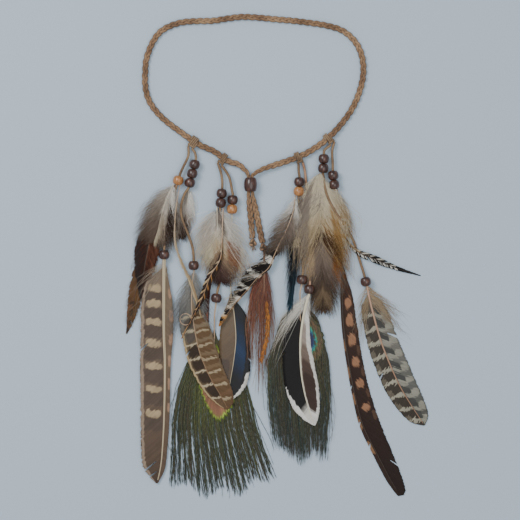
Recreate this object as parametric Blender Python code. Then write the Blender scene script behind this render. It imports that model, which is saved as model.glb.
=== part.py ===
"""A feathered headband lying flat: a plaited cord loop closed by a large bead, and feathers on beaded cords.

Tables are in millimetres or in shares of the named sizes. X runs to the right, Y towards the back of the
head, and Z up from the surface that the headband lies on.
"""

import math

import bmesh
import bpy
from mathutils import Matrix, Vector

MM = 0.001

# Driving sizes, in millimetres
LOOP_WIDTH = 205.0
LOOP_DEPTH = 158.0
BRAID_WIDTH = 6.2
BRAID_THICK = 4.0
BRAID_PITCH = 6.5
TAIL_LENGTH = 44.0
CENTRE_BEAD_DIAMETER = 12.4
CENTRE_BEAD_LENGTH = 13.0
BEAD_DIAMETER = 10.0
BEAD_LENGTH = 8.6
CORD_DIAMETER = 2.5
KNOT_LENGTH = 6.4
KNOT_WALL = 1.6
TAIL_KNOT_DIAMETER = 8.4
QUILL_WIDTH = 1.6
VANE_THICK = 0.9
RACHIS_THICK = 1.4
PLUME_THICK = 2.0
HERL_THICK = 1.2

# Clearances, in millimetres
GAP = 0.3
CORD_CLEARANCE = 0.45
LAYER = RACHIS_THICK + GAP

BEAD_RADIUS = BEAD_DIAMETER / 2
BEAD_PITCH = BEAD_LENGTH + GAP
BEAD_HOLE = CORD_DIAMETER / 2 + CORD_CLEARANCE
CENTRE_RADIUS = CENTRE_BEAD_DIAMETER / 2
KNOT_HEIGHT = BRAID_THICK + 2 * (GAP + KNOT_WALL)
QUILL_INSERT = 2.0
CORD_SPREAD = (CORD_DIAMETER / 2 + GAP) * 1.4

# The two braid ends pass side by side through the centre bead
LANE_WIDTH = 3.4
LANE_OFFSET = (LANE_WIDTH + GAP) / 2
LANE_REACH = 17.0
LIFT_REACH = 24.0
CENTRE_HOLE = math.hypot(LANE_OFFSET + 0.36 * LANE_WIDTH, BRAID_THICK / 2) + GAP + 0.2

# Loop route from the centre bead up the left side and back down the right: shares of LOOP_WIDTH and LOOP_DEPTH
LOOP_ROUTE = [
    (-0.018, 0.076), (-0.055, 0.121), (-0.103, 0.140), (-0.169, 0.200), (-0.239, 0.240), (-0.321, 0.314),
    (-0.387, 0.378), (-0.436, 0.442), (-0.469, 0.511), (-0.483, 0.591), (-0.483, 0.676), (-0.473, 0.772),
    (-0.419, 0.905), (-0.313, 0.968), (-0.173, 0.977), (-0.042, 1.000), (0.106, 0.987), (0.270, 0.965),
    (0.418, 0.921), (0.500, 0.809), (0.517, 0.644), (0.467, 0.453), (0.369, 0.293), (0.270, 0.197),
    (0.193, 0.152), (0.111, 0.117), (0.055, 0.092), (0.022, 0.068),
]

# Each tail leans this many degrees to the right of straight down and ends in its own knot
TAIL_LEANS = {"left": 5.0, "right": 11.0}
TAIL_EXTRA = {"left": 0.0, "right": 5.0}

# Share of the loop's length at which each pair of cords is knotted on, and the size of that knot
KNOTS = {"a": (0.104, 1.35), "b": (0.046, 1.0), "c": (0.922, 1.0), "d": (0.862, 1.0)}

# Cord routes in millimetres from their knot: right, up the page, height. The first bead sits at point FIRST.
# Columns of each entry: side of the knot, first bead's point, beads in the stack, lower bead, points
CORDS = {
    "a1": (-1, 2, 1, True, [
        (-5.5, -13.5, 4.6), (-10.5, -24.5, 5.0), (-15.0, -36.5, 5.0), (-17.6, -45.0, 4.0), (-19.8, -54.0, 1.5),
        (-25.5, -76.0, 1.5), (-27.3, -89.0, 1.6), (-27.9, -97.0, 3.4), (-28.0, -101.0, 5.0), (-28.0, -106.5, 5.0)]),
    "a2": (1, 1, 3, True, [
        (1.0, -11.0, 4.6), (0.5, -21.5, 5.0), (-1.0, -30.5, 5.0), (-4.0, -39.0, 5.0), (-9.0, -49.5, 5.2),
        (-12.0, -60.0, 5.4), (-11.5, -71.5, 5.2), (-6.0, -86.0, 5.0), (-1.5, -99.5, 5.0), (-0.4, -110.0, 5.0),
        (-0.5, -116.5, 5.0)]),
    "b1": (-1, 1, 2, True, [
        (-2.0, -16.5, 4.8), (-2.0, -33.0, 5.0), (-3.0, -42.5, 5.0), (-3.2, -49.5, 3.7), (-2.6, -54.0, 1.7),
        (0.4, -76.0, 1.5), (-0.5, -99.5, 1.5), (-3.9, -117.0, 1.5), (-5.3, -122.0, 3.4), (-6.0, -125.0, 4.9),
        (-6.9, -131.5, 5.0)]),
    "b2": (1, 2, 2, False, [
        (5.0, -17.5, 4.8), (8.0, -31.5, 5.0), (8.4, -39.0, 5.0), (7.9, -49.5, 5.0)]),
    "c1": (-1, 1, 2, True, [
        (0.5, -13.5, 4.8), (1.0, -23.5, 5.0), (0.5, -32.5, 5.0), (0.5, -40.5, 3.8), (0.9, -46.5, 1.7),
        (2.5, -68.5, 1.5), (4.0, -88.0, 1.5), (4.6, -98.5, 1.8), (4.6, -106.0, 4.0), (4.4, -109.0, 5.0),
        (3.7, -115.5, 5.0)]),
    "c2": (1, 7, 1, False, [
        (6.4, -13.5, 2.2), (7.4, -23.0, 1.5), (8.4, -33.5, 1.5), (10.5, -57.0, 1.5), (12.0, -81.5, 1.5), (11.8, -102.0, 1.5),
        (11.4, -114.0, 3.2), (10.5, -124.5, 5.0), (10.0, -129.5, 5.0)]),
    "d1": (-1, 1, 2, True, [
        (-3.0, -11.0, 4.6), (-4.0, -19.5, 5.0), (-4.5, -28.5, 5.0), (-4.0, -38.0, 6.0), (-2.0, -50.5, 7.1),
        (3.5, -63.5, 7.2), (12.5, -78.0, 6.2), (19.0, -87.5, 3.0), (24.0, -96.5, 1.5), (28.0, -108.5, 1.5),
        (31.2, -119.0, 2.4), (33.4, -126.0, 4.6), (34.2, -129.0, 5.0), (35.5, -135.0, 5.0)]),
    "d2": (1, 2, 2, False, [
        (4.0, -12.5, 4.6), (4.5, -24.0, 5.0), (5.0, -35.0, 5.0), (6.0, -45.0, 5.0)]),
}

# Vaned feathers. Columns: bead or knot, seat to the right of its axis, seat height, heading, length, width,
# then rows of share along, left and right shares of the width, bend as a share of the length, and layers of lift
FEATHERS = {
    "long_barred_feather": ("a1_lower", 0.0, 4.3, -3.4, 207.0, 31.0, [
        (0.0, 0.03, 0.03, 0.0, None), (0.03, 0.14, 0.06, 0.0, 2.2), (0.08, 0.50, 0.12, 0.001, 2.0),
        (0.22, 0.71, 0.29, 0.005, 1.9), (0.35, 0.72, 0.28, 0.010, 1.6), (0.47, 0.77, 0.16, 0.018, 1.1),
        (0.72, 0.70, 0.15, 0.022, 1.0), (0.88, 0.63, 0.13, 0.022, 1.0), (0.955, 0.43, 0.14, 0.017, 1.0),
        (1.0, 0.03, 0.03, 0.0, 1.0)]),
    "chevron_feather": ("a2_lower", 0.0, 4.3, 11.2, 133.0, 32.0, [
        (0.0, 0.026, 0.026, 0.0, None), (0.07, 0.14, 0.13, -0.022, 2.1), (0.23, 0.37, 0.28, -0.066, 2.0),
        (0.36, 0.43, 0.42, -0.082, 2.0), (0.48, 0.40, 0.51, -0.088, 2.0), (0.60, 0.44, 0.54, -0.090, 2.0),
        (0.76, 0.40, 0.53, -0.068, 2.0), (0.90, 0.33, 0.40, -0.028, 2.0), (1.0, 0.03, 0.03, 0.0, 2.0)]),
    "speculum_feather": ("b2", 0.0, 1.1, -1.3, 173.0, 30.0, [
        (0.0, 0.03, 0.03, 0.0, None), (0.12, 0.03, 0.03, -0.004, 0.1), (0.25, 0.03, 0.03, -0.006, 0.1),
        (0.43, 0.05, 0.05, 0.002, 0.5), (0.52, 0.33, 0.36, 0.018, 1.0), (0.66, 0.53, 0.43, 0.031, 1.0),
        (0.79, 0.44, 0.55, 0.020, 1.0), (0.88, 0.26, 0.57, 0.006, 1.0), (0.95, 0.04, 0.40, -0.002, 1.0),
        (1.0, 0.02, 0.03, 0.0, 1.0)]),
    "striped_hackle": ("b1", 2.9, 5.2, -17.7, 129.0, 7.0, [
        (0.0, 0.12, 0.12, 0.0, None), (0.08, 0.12, 0.12, 0.022, 3.8), (0.20, 0.12, 0.12, 0.056, 4.0),
        (0.36, 0.25, 0.25, 0.092, 4.0), (0.50, 0.50, 0.50, 0.062, 4.0), (0.66, 0.45, 0.45, 0.055, 4.0),
        (0.80, 0.20, 0.20, 0.035, 4.0), (1.0, 0.08, 0.08, 0.0, 4.0)]),
    "maroon_hackle": ("b1", -2.4, 0.4, -4.5, 117.0, 7.0, [
        (0.0, 0.11, 0.11, 0.0, None), (0.30, 0.12, 0.12, 0.006, 0.0), (0.52, 0.40, 0.40, -0.010, 0.0),
        (0.70, 0.48, 0.42, -0.030, 0.0), (0.87, 0.38, 0.32, -0.018, 0.0), (1.0, 0.06, 0.06, 0.0, 0.0)]),
    "barred_hackle": ("c1", -2.9, 5.2, -29.1, 132.5, 16.0, [
        (0.0, 0.06, 0.06, 0.0, None), (0.10, 0.38, 0.36, 0.040, 3.6), (0.23, 0.72, 0.48, 0.061, 3.7),
        (0.33, 0.50, 0.36, 0.068, 3.7), (0.42, 0.40, 0.10, 0.078, 3.7), (0.50, 0.70, 0.09, 0.087, 3.7),
        (0.58, 0.74, 0.08, 0.060, 3.7), (0.70, 0.62, 0.08, 0.037, 3.7), (0.79, 0.36, 0.08, 0.018, 3.7),
        (0.88, 0.20, 0.08, 0.007, 3.7), (0.94, 0.26, 0.08, 0.003, 3.7), (1.0, 0.05, 0.05, 0.0, 3.7)]),
    "black_striped_hackle": ("d2", 2.6, 0.6, 44.0, 113.0, 8.0, [
        (0.0, 0.10, 0.10, 0.0, None), (0.134, 0.10, 0.10, -0.107, 0.2), (0.274, 0.10, 0.10, -0.200, 1.0),
        (0.36, 0.12, 0.12, -0.240, 1.95), (0.50, 0.38, 0.36, -0.236, 2.0), (0.625, 0.55, 0.45, -0.181, 1.7),
        (0.80, 0.35, 0.30, -0.107, 0.5), (1.0, 0.06, 0.06, 0.0, 0.0)]),
    "white_black_feather": ("c2", 0.0, 4.3, 4.3, 121.0, 32.0, [
        (0.0, 0.03, 0.03, 0.0, None), (0.06, 0.24, 0.06, -0.016, 2.2), (0.20, 0.44, 0.19, -0.053, 2.0),
        (0.36, 0.47, 0.33, -0.079, 2.0), (0.55, 0.50, 0.45, -0.085, 2.0), (0.70, 0.53, 0.47, -0.073, 2.0),
        (0.85, 0.48, 0.38, -0.044, 2.0), (0.95, 0.27, 0.18, -0.015, 2.0), (1.0, 0.03, 0.03, 0.0, 2.0)]),
    "spotted_feather": ("d2", 0.0, 4.3, 13.0, 288.0, 18.0, [
        (0.0, 0.05, 0.05, 0.0, None), (0.05, 0.05, 0.05, -0.004, 0.6), (0.13, 0.05, 0.05, -0.018, 0.4),
        (0.26, 0.06, 0.10, -0.029, 0.2), (0.33, 0.08, 0.45, -0.045, 0.0), (0.44, 0.09, 0.70, -0.063, 0.0),
        (0.58, 0.10, 0.72, -0.072, 0.0), (0.68, 0.12, 0.85, -0.073, 0.0), (0.76, 0.14, 0.95, -0.068, 0.0),
        (0.86, 0.14, 0.75, -0.042, 0.0), (0.94, 0.14, 0.62, -0.020, 0.0), (1.0, 0.05, 0.12, 0.0, 0.0)]),
    "grey_barred_feather": ("d1_lower", 0.0, 4.3, 23.6, 138.0, 32.0, [
        (0.0, 0.03, 0.03, 0.0, None), (0.06, 0.24, 0.14, -0.010, 1.6), (0.19, 0.36, 0.40, -0.030, 0.3),
        (0.38, 0.45, 0.50, -0.052, 0.0), (0.55, 0.46, 0.52, -0.056, 0.0), (0.70, 0.45, 0.50, -0.050, 0.0),
        (0.84, 0.39, 0.42, -0.030, 0.0), (0.95, 0.27, 0.25, -0.009, 0.0), (1.0, 0.03, 0.03, 0.0, 0.0)]),
    "golden_hackle": ("a1", -1.6, 0.3, -18.1, 148.0, 14.0, [
        (0.0, 0.06, 0.06, 0.0, None), (0.18, 0.10, 0.10, -0.033, 0.0), (0.42, 0.40, 0.40, -0.049, 0.0),
        (0.64, 0.50, 0.50, -0.038, 0.0), (0.82, 0.42, 0.45, -0.015, 0.0), (0.93, 0.20, 0.22, -0.004, 0.0),
        (1.0, 0.04, 0.04, 0.0, 0.0)]),
    "chestnut_hackle": ("a1", -1.6, 2.0, -16.8, 113.0, 22.0, [
        (0.0, 0.04, 0.04, 0.0, None), (0.24, 0.10, 0.08, -0.049, 1.0), (0.46, 0.50, 0.32, -0.068, 1.0),
        (0.62, 0.58, 0.34, -0.058, 1.0), (0.80, 0.38, 0.28, -0.036, 1.0), (0.92, 0.18, 0.20, -0.014, 1.0),
        (1.0, 0.03, 0.03, 0.0, 1.0)]),
    "ivory_hackle": ("a1", 3.0, 4.2, 9.4, 126.0, 5.0, [
        (0.0, 0.16, 0.16, 0.0, None), (0.12, 0.16, 0.16, -0.042, 2.7), (0.23, 0.16, 0.16, -0.073, 2.8),
        (0.41, 0.30, 0.30, -0.102, 3.0), (0.58, 0.50, 0.50, -0.077, 3.0), (0.71, 0.50, 0.50, -0.039, 3.0),
        (0.86, 0.40, 0.30, -0.015, 3.0), (1.0, 0.10, 0.10, 0.0, 3.0)]),
}

# Downy plumes. Columns: bead, seat to the right, seat height, heading, length, width, thickness share, locks,
# then rows of share along, left and right shares of the width, bend, and layers of lift
PLUMES = {
    "smoke_plume": ("a1", -3.0, 4.4, -26.0, 58.0, 36.0, 1.0, 6, [
        (0.0, 0.03, 0.03, 0.0, None), (0.15, 0.20, 0.10, -0.02, 2.0), (0.40, 0.40, 0.24, -0.03, 2.0),
        (0.70, 0.46, 0.34, -0.01, 2.0), (0.90, 0.38, 0.28, 0.0, 2.0), (1.0, 0.10, 0.08, 0.0, 2.0)]),
    "white_plume": ("a2", 0.0, 1.3, -9.0, 47.0, 13.0, 1.4, 4, [
        (0.0, 0.10, 0.10, 0.0, None), (0.20, 0.32, 0.32, 0.02, 0.0), (0.50, 0.40, 0.48, 0.02, 0.0),
        (0.80, 0.34, 0.42, 0.0, 0.0), (1.0, 0.10, 0.10, 0.0, 0.0)]),
    "cream_plume": ("b1", -3.0, 4.4, 0.0, 68.0, 40.0, 1.0, 7, [
        (0.0, 0.03, 0.02, 0.0, None), (0.06, 0.10, 0.01, 0.0, 2.4), (0.11, 0.18, 0.03, 0.0, 2.2),
        (0.18, 0.28, 0.20, 0.0, 2.0), (0.28, 0.40, 0.44, 0.0, 2.0),
        (0.50, 0.38, 0.50, 0.0, 2.0), (0.75, 0.20, 0.44, 0.02, 2.0), (1.0, 0.08, 0.10, 0.04, 2.0)]),
    "black_plume": ("c1", 3.0, 4.2, -4.3, 114.0, 13.0, 0.9, 8, [
        (0.0, 0.08, 0.06, 0.0, None), (0.06, 0.08, 0.10, 0.0, 2.2), (0.12, 0.20, 0.14, 0.0, 2.0),
        (0.22, 0.45, 0.22, 0.0, 2.0), (0.50, 0.50, 0.26, 0.0, 2.0), (0.62, 0.35, 0.10, 0.0, 2.0),
        (0.75, 0.30, 0.05, 0.0, 3.0), (1.0, 0.10, 0.05, 0.0, 3.0)]),
    "buff_plume": ("d1", -3.0, 3.6, 2.7, 131.0, 40.0, 1.0, 11, [
        (0.0, 0.03, 0.02, 0.0, None), (0.08, 0.28, 0.12, -0.01, 2.0), (0.17, 0.42, 0.24, 0.0, 2.0),
        (0.45, 0.40, 0.50, 0.0, 2.0), (0.52, 0.26, 0.50, 0.0, 2.0), (0.64, 0.24, 0.48, 0.0, 2.0),
        (0.80, 0.22, 0.26, 0.0, 2.0), (0.90, 0.20, 0.20, 0.0, 2.0), (1.0, 0.06, 0.06, 0.0, 2.0)]),
    "tan_plume": ("d2", 3.1, 4.2, 20.0, 32.0, 12.0, 1.0, 3, [
        (0.0, 0.08, 0.08, 0.0, None), (0.30, 0.34, 0.36, 0.0, 1.6), (0.70, 0.42, 0.46, 0.0, 1.5),
        (1.0, 0.10, 0.10, 0.0, 1.5)]),
}

# Fringes of long barbs. Columns: bead or knot, seat height, heading, length, rest layer, stem rows (share
# along, bend, half width in millimetres), left shoulder, finger tips and right shoulder (shares), valley share
FRINGES = {
    "peacock_left": ("b1_lower", 4.4, 0.0, 184.0, 0.0, [(0.018, -0.001, 0.8), (0.07, -0.008, 1.0), (0.13, -0.010, 1.2)], [
        (0.20, -0.025), (0.297, -0.177), (0.58, -0.254)], [
        (0.96, -0.290), (0.98, -0.245), (0.99, -0.167), (1.0, -0.070), (1.0, 0.023), (0.99, 0.080),
        (0.97, 0.140), (0.95, 0.218), (0.877, 0.290)], [
        (0.63, 0.200), (0.405, 0.145), (0.20, 0.012)], 0.66),
    "peacock_right": ("c1_lower", 4.4, 0.0, 172.0, 1.0, [(0.018, -0.001, 0.8), (0.05, -0.008, 0.9), (0.09, -0.008, 1.2)], [
        (0.158, -0.094), (0.437, -0.176), (0.672, -0.170)], [
        (0.836, -0.138), (0.934, -0.087), (0.89, -0.038), (1.0, 0.030), (0.934, 0.082), (0.94, 0.126),
        (0.90, 0.169), (0.78, 0.190)], [
        (0.617, 0.188), (0.464, 0.172), (0.158, 0.080)], 0.70),
    "rust_fringe": ("right_tail", 4.0, 0.0, 146.0, 2.0, [(0.03, 0.0, 1.6), (0.06, 0.0, 2.4)], [
        (0.12, -0.030), (0.28, -0.052), (0.48, -0.060)], [
        (0.72, -0.062), (0.78, -0.034), (1.0, 0.006), (0.70, 0.030), (0.60, 0.062)], [
        (0.46, 0.064), (0.25, 0.040), (0.12, 0.022)], 0.56),
}

# Colours, as red, green and blue from 0 to 1, and roughness
FINISHES = {
    "waxed_cord": ((0.39, 0.22, 0.11), 0.75),
    "dark_wood": ((0.045, 0.018, 0.013), 0.35),
    "light_wood": ((0.53, 0.20, 0.05), 0.4),
    "grey_brown_vane": ((0.17, 0.11, 0.08), 0.7),
    "dark_vane": ((0.03, 0.02, 0.018), 0.6),
    "chestnut_vane": ((0.13, 0.04, 0.02), 0.65),
    "barred_vane": ((0.25, 0.20, 0.16), 0.7),
    "pale_down": ((0.55, 0.47, 0.38), 0.9),
    "smoke_down": ((0.24, 0.19, 0.15), 0.9),
    "black_down": ((0.025, 0.022, 0.024), 0.9),
    "peacock_herl": ((0.07, 0.09, 0.025), 0.5),
    "rust_down": ((0.22, 0.07, 0.03), 0.8),
}
FINISH_OF = {
    "long_barred_feather": "grey_brown_vane", "chevron_feather": "grey_brown_vane",
    "speculum_feather": "dark_vane", "striped_hackle": "barred_vane", "maroon_hackle": "chestnut_vane",
    "barred_hackle": "barred_vane", "black_striped_hackle": "dark_vane", "white_black_feather": "barred_vane",
    "spotted_feather": "dark_vane", "grey_barred_feather": "barred_vane", "golden_hackle": "chestnut_vane",
    "chestnut_hackle": "chestnut_vane", "ivory_hackle": "pale_down", "smoke_plume": "smoke_down",
    "white_plume": "pale_down", "cream_plume": "pale_down", "black_plume": "black_down",
    "buff_plume": "pale_down", "tan_plume": "pale_down", "peacock_left": "peacock_herl",
    "peacock_right": "peacock_herl", "rust_fringe": "rust_down",
}
LIGHT_BEADS = ("bead_a1_1", "bead_b2_2", "bead_c1_2")


def clear_scene():
    for item in list(bpy.data.objects):
        bpy.data.objects.remove(item)


def finish(name):
    """The finish's material, made the first time it is asked for."""
    material = bpy.data.materials.get(name)
    if material is None:
        material = bpy.data.materials.new(name)
        material.use_nodes = True
        colour, roughness = FINISHES[name]
        shader = material.node_tree.nodes["Principled BSDF"]
        shader.inputs["Base Color"].default_value = (*colour, 1.0)
        shader.inputs["Roughness"].default_value = roughness
    return material


def place(name, data, finish_name):
    piece = bpy.data.objects.new(name, data)
    bpy.context.scene.collection.objects.link(piece)
    data.materials.append(finish(finish_name))
    piece.parent = ROOT
    return piece


def place_mesh(name, bm, finish_name, smooth_angle=40.0):
    bmesh.ops.triangulate(bm, faces=bm.faces)
    bmesh.ops.recalc_face_normals(bm, faces=bm.faces)
    mesh = bpy.data.meshes.new(name)
    bm.to_mesh(mesh)
    bm.free()
    mesh.shade_smooth()
    mesh.set_sharp_from_angle(angle=math.radians(smooth_angle))
    return place(name, mesh, finish_name)


def smooth_points(points, spans=6, leave=None, arrive=None):
    """A smooth curve through the points, as a dense list. It can leave and arrive in set directions."""
    before = points[0] * 2 - points[1]
    after = points[-1] * 2 - points[-2]
    if leave is not None:
        before = points[1] - leave * 2 * (points[1] - points[0]).length
    if arrive is not None:
        after = points[-2] + arrive * 2 * (points[-1] - points[-2]).length
    ends = [before, *points, after]
    dense = []
    for a, b, c, d in zip(ends, ends[1:], ends[2:], ends[3:]):
        for i in range(spans):
            t = i / spans
            dense.append(0.5 * ((2 * b) + (c - a) * t + (2 * a - 5 * b + 4 * c - d) * t * t
                                + (3 * b - a - 3 * c + d) * t ** 3))
    return [*dense, points[-1].copy()]


class Route:
    """A polyline that can be read by the distance along it."""

    def __init__(self, points):
        self.points = points
        self.at = [0.0]
        for a, b in zip(points, points[1:]):
            self.at.append(self.at[-1] + (b - a).length)
        self.length = self.at[-1]

    def point(self, distance):
        distance = min(max(distance, 0.0), self.length)
        for i in range(1, len(self.at)):
            if distance <= self.at[i]:
                share = (distance - self.at[i - 1]) / max(self.at[i] - self.at[i - 1], 1e-9)
                return self.points[i - 1].lerp(self.points[i], share)
        return self.points[-1].copy()

    def tangent(self, distance, reach=1.0):
        return (self.point(distance + reach) - self.point(distance - reach)).normalized()

    def nearest(self, target):
        return min(zip(self.at, self.points), key=lambda pair: (pair[1] - target).length)[0]


def soft_step(value):
    value = min(max(value, 0.0), 1.0)
    return value * value * (3 - 2 * value)


def loft(rings):
    """A closed body through rings of equal point counts, made by extruding one face from ring to ring."""
    bm = bmesh.new()
    face = bm.faces.new([bm.verts.new(point * MM) for point in rings[0]])
    for index, ring in enumerate(rings[1:]):
        made = bmesh.ops.extrude_face_region(bm, geom=[face], use_keep_orig=True)
        if index:
            bmesh.ops.delete(bm, geom=[face], context="FACES_ONLY")
        face = next(item for item in made["geom"] if isinstance(item, bmesh.types.BMFace))
        for vert, point in zip(face.verts, ring):
            vert.co = point * MM
    return bm


def drilled_barrel(length, radius, hole, sides, shoulder):
    """A barrel bead along X with a straight hole, spun from its section."""
    end = length / 2
    rim = hole + (radius - hole) * 0.42
    section = [(-end, hole), (-end, rim), (-end * 0.72, radius * shoulder), (-end * 0.25, radius),
               (end * 0.25, radius), (end * 0.72, radius * shoulder), (end, rim), (end, hole)]
    bm = bmesh.new()
    verts = [bm.verts.new((x * MM, 0.0, r * MM)) for x, r in section]
    edges = [bm.edges.new(pair) for pair in zip(verts, verts[1:] + verts[:1])]
    bmesh.ops.spin(bm, geom=verts + edges, axis=(1, 0, 0), cent=(0, 0, 0), steps=sides,
                   angle=math.tau, use_merge=True)
    bmesh.ops.remove_doubles(bm, verts=bm.verts, dist=0.00001)
    return bm


def turn_to(bm, centre, direction):
    """Turns a piece made along X to a direction in the plane, and carries it to its centre."""
    flat = math.atan2(direction.y, direction.x)
    bmesh.ops.transform(bm, matrix=Matrix.Translation(centre * MM) @ Matrix.Rotation(flat, 4, "Z"), verts=bm.verts)


def loop_route():
    points = [Vector((x * LOOP_WIDTH, y * LOOP_DEPTH, 0.0)) for x, y in LOOP_ROUTE]
    return Route(smooth_points(points))


def tail_end(side):
    lean = math.radians(TAIL_LEANS[side])
    start = Vector((LANE_OFFSET * (-1 if side == "left" else 1), -CENTRE_BEAD_LENGTH / 2, 0.0))
    return start + Vector((math.sin(lean), -math.cos(lean), 0.0)) * (TAIL_LENGTH + TAIL_EXTRA[side])


def knot_places(loop):
    return {name: (loop.point(share * loop.length), loop.tangent(share * loop.length, 3.0), size)
            for name, (share, size) in KNOTS.items()}


def braid(loop, knots):
    """The whole plait: left tail, through the bead, round the loop, through the bead again and down."""
    half = CENTRE_BEAD_LENGTH / 2
    lane_left, lane_right = (Vector((x, 0.0, 0.0)) for x in (-LANE_OFFSET, LANE_OFFSET))
    down, up = Vector((0.0, -half - 1.5, 0.0)), Vector((0.0, half + 1.5, 0.0))
    points = [tail_end("left"), tail_end("left").lerp(lane_left + down, 0.5), lane_left + down, lane_left,
              lane_left + up, *(loop.points[i] for i in range(0, len(loop.points), 3)), lane_right + up,
              lane_right, lane_right + down, tail_end("right").lerp(lane_right + down, 0.5), tail_end("right")]
    route = Route(smooth_points(points))
    rings = []
    steps = round(route.length / (BRAID_PITCH / 2))
    section = [(-0.32, -0.5), (0.32, -0.5), (0.5, 0.0), (0.32, 0.5), (-0.32, 0.5), (-0.5, 0.0)]
    for i in range(steps + 1):
        distance = route.length * i / steps
        centre = route.point(distance)
        side = route.tangent(distance).cross(Vector((0, 0, 1))).normalized()
        near_bead = soft_step((abs(centre.y) - half + 1.0) / LANE_REACH if abs(centre.x) < 20 else 1.0)
        width = LANE_WIDTH + (BRAID_WIDTH - LANE_WIDTH) * near_bead
        width *= 1.0 + (0.035 if i % 2 else -0.035) * near_bead
        lift = (CENTRE_RADIUS - BRAID_THICK / 2) * (1 - soft_step((abs(centre.y) - half) / LIFT_REACH)
                                                    if abs(centre.x) < 30 else 0.0)
        for spot, _, size in knots.values():
            away = (centre - spot).length - KNOT_LENGTH * size / 2
            lift = max(lift, (GAP + KNOT_WALL) * (1 - soft_step(away / LIFT_REACH)))
        height = lift + BRAID_THICK / 2
        rings.append([centre + side * (a * width) + Vector((0, 0, height + b * BRAID_THICK)) for a, b in section])
    place_mesh("headband_braid", loft(rings), "waxed_cord")


def knot_sleeve(name, spot, tangent, size):
    """A cord wrapped round the braid, as a sleeve that the braid passes through."""
    inner_width = BRAID_WIDTH * 1.035 / 2 + GAP
    inner_thick = BRAID_THICK / 2 + GAP
    bm = drilled_barrel(KNOT_LENGTH * size, 1.0, 0.5, 12, 0.9)
    for vert in bm.verts:
        radius = math.hypot(vert.co.y, vert.co.z) / MM
        share = (radius - 0.5) / 0.5
        angle = math.atan2(vert.co.z, vert.co.y)
        corner = 1.0 + 0.10 * abs(math.sin(2 * angle))
        vert.co.y = math.cos(angle) * (inner_width * corner + KNOT_WALL * share) * MM
        vert.co.z = math.sin(angle) * (inner_thick * corner + KNOT_WALL * share) * MM
    lowest = min(vert.co.z for vert in bm.verts)
    turn_to(bm, spot, tangent)
    bmesh.ops.translate(bm, vec=(0, 0, -lowest), verts=bm.verts)
    place_mesh(name, bm, "waxed_cord")


def cord_route(name, knots):
    """The cord from the side of its knot through the chosen points, straight wherever it carries beads."""
    side, first, count, lower, table = CORDS[name]
    spot, tangent, _ = knots[name[0]]
    along = tangent if tangent.x > 0 else -tangent
    outward = along.cross(Vector((0, 0, 1)))
    outward = outward if outward.y < 0 else -outward
    reach = BRAID_WIDTH / 2 + GAP + KNOT_WALL + GAP + CORD_DIAMETER / 2
    start = spot + outward * reach + along * side * CORD_SPREAD + Vector((0, 0, KNOT_HEIGHT / 2))
    points = [start, *(spot + Vector(row) for row in table)]
    stack_at = first + 1
    direction = (points[min(stack_at + max(count - 1, 1), len(points) - 1)] - points[stack_at])
    direction = Vector((direction.x, direction.y, 0.0)).normalized()
    stack_in = points[stack_at] - direction * (BEAD_LENGTH / 2)
    stack_out = points[stack_at] + direction * ((count - 1) * BEAD_PITCH + BEAD_LENGTH / 2)
    dense = smooth_points([*points[:stack_at], stack_in], arrive=direction)
    first_at = Route(dense).length + BEAD_LENGTH / 2
    if not lower:
        return Route([*dense, stack_out]), first_at
    last = points[-1] - points[-2]
    last = Vector((last.x, last.y, 0.0)).normalized()
    lower_in = points[-1] - last * (BEAD_LENGTH / 2)
    rest = points[stack_at + count:-2]
    dense += smooth_points([stack_out, *rest, lower_in], leave=direction, arrive=last)
    return Route([*dense, points[-1] + last * (BEAD_LENGTH / 2)]), first_at


def thread(name, knots):
    """One cord with its beads. Returns the end and direction of each stack, for the feathers to hang from."""
    count, lower = CORDS[name][2:4]
    route, first_at = cord_route(name, knots)
    centres = [(f"bead_{name}_{i + 1}", first_at + i * BEAD_PITCH) for i in range(count)]
    stacks = {name: centres[-1][1]}
    if lower:
        stacks[f"{name}_lower"] = route.length - BEAD_LENGTH / 2
        centres.append((f"bead_{name}_lower", route.length - BEAD_LENGTH / 2))
    ends = {}
    for bead, distance in centres:
        direction = route.tangent(distance, BEAD_LENGTH * 0.3)
        direction = Vector((direction.x, direction.y, 0.0)).normalized()
        centre = route.point(distance)
        centre.z = BEAD_RADIUS
        bm = drilled_barrel(BEAD_LENGTH, BEAD_RADIUS, BEAD_HOLE, 10, 0.86)
        turn_to(bm, centre, direction)
        place_mesh(bead, bm, "light_wood" if bead in LIGHT_BEADS else "dark_wood", 60.0)
        for stack, at in stacks.items():
            if at == distance:
                ends[stack] = (centre + direction * (BEAD_LENGTH / 2), direction)
    cord_length = centres[-1][1]
    turns = [0.0, first_at - BEAD_LENGTH / 2, centres[count - 1][1] + BEAD_LENGTH / 2, cord_length - BEAD_LENGTH / 2]
    turns = [at for at in turns if at < cord_length - 0.5] + [cord_length]
    stops = [0.0]
    for a, b in zip(turns, turns[1:]):
        pieces = max(round((b - a) / (CORD_DIAMETER * 2.6)), 1)
        stops += [a + (b - a) * i / pieces for i in range(1, pieces + 1)]
    curve = bpy.data.curves.new(f"cord_{name}", "CURVE")
    curve.dimensions = "3D"
    curve.bevel_depth = CORD_DIAMETER / 2 * MM
    curve.bevel_resolution = 2
    curve.use_fill_caps = True
    spline = curve.splines.new("POLY")
    spline.points.add(len(stops) - 1)
    for point, stop in zip(spline.points, stops):
        point.co = (*(route.point(stop) * MM), 1.0)
    place(f"cord_{name}", curve, "waxed_cord")
    return ends


def hang_axes(heading):
    angle = math.radians(heading)
    return Vector((math.sin(angle), -math.cos(angle), 0)), Vector((math.cos(angle), math.sin(angle), 0))


def in_hole(holder, seat, height):
    """True for a quill that goes up into its bead's hole instead of lying against the bead's end."""
    return seat == 0.0 and height > BEAD_HOLE and not holder.endswith("_tail")


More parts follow.
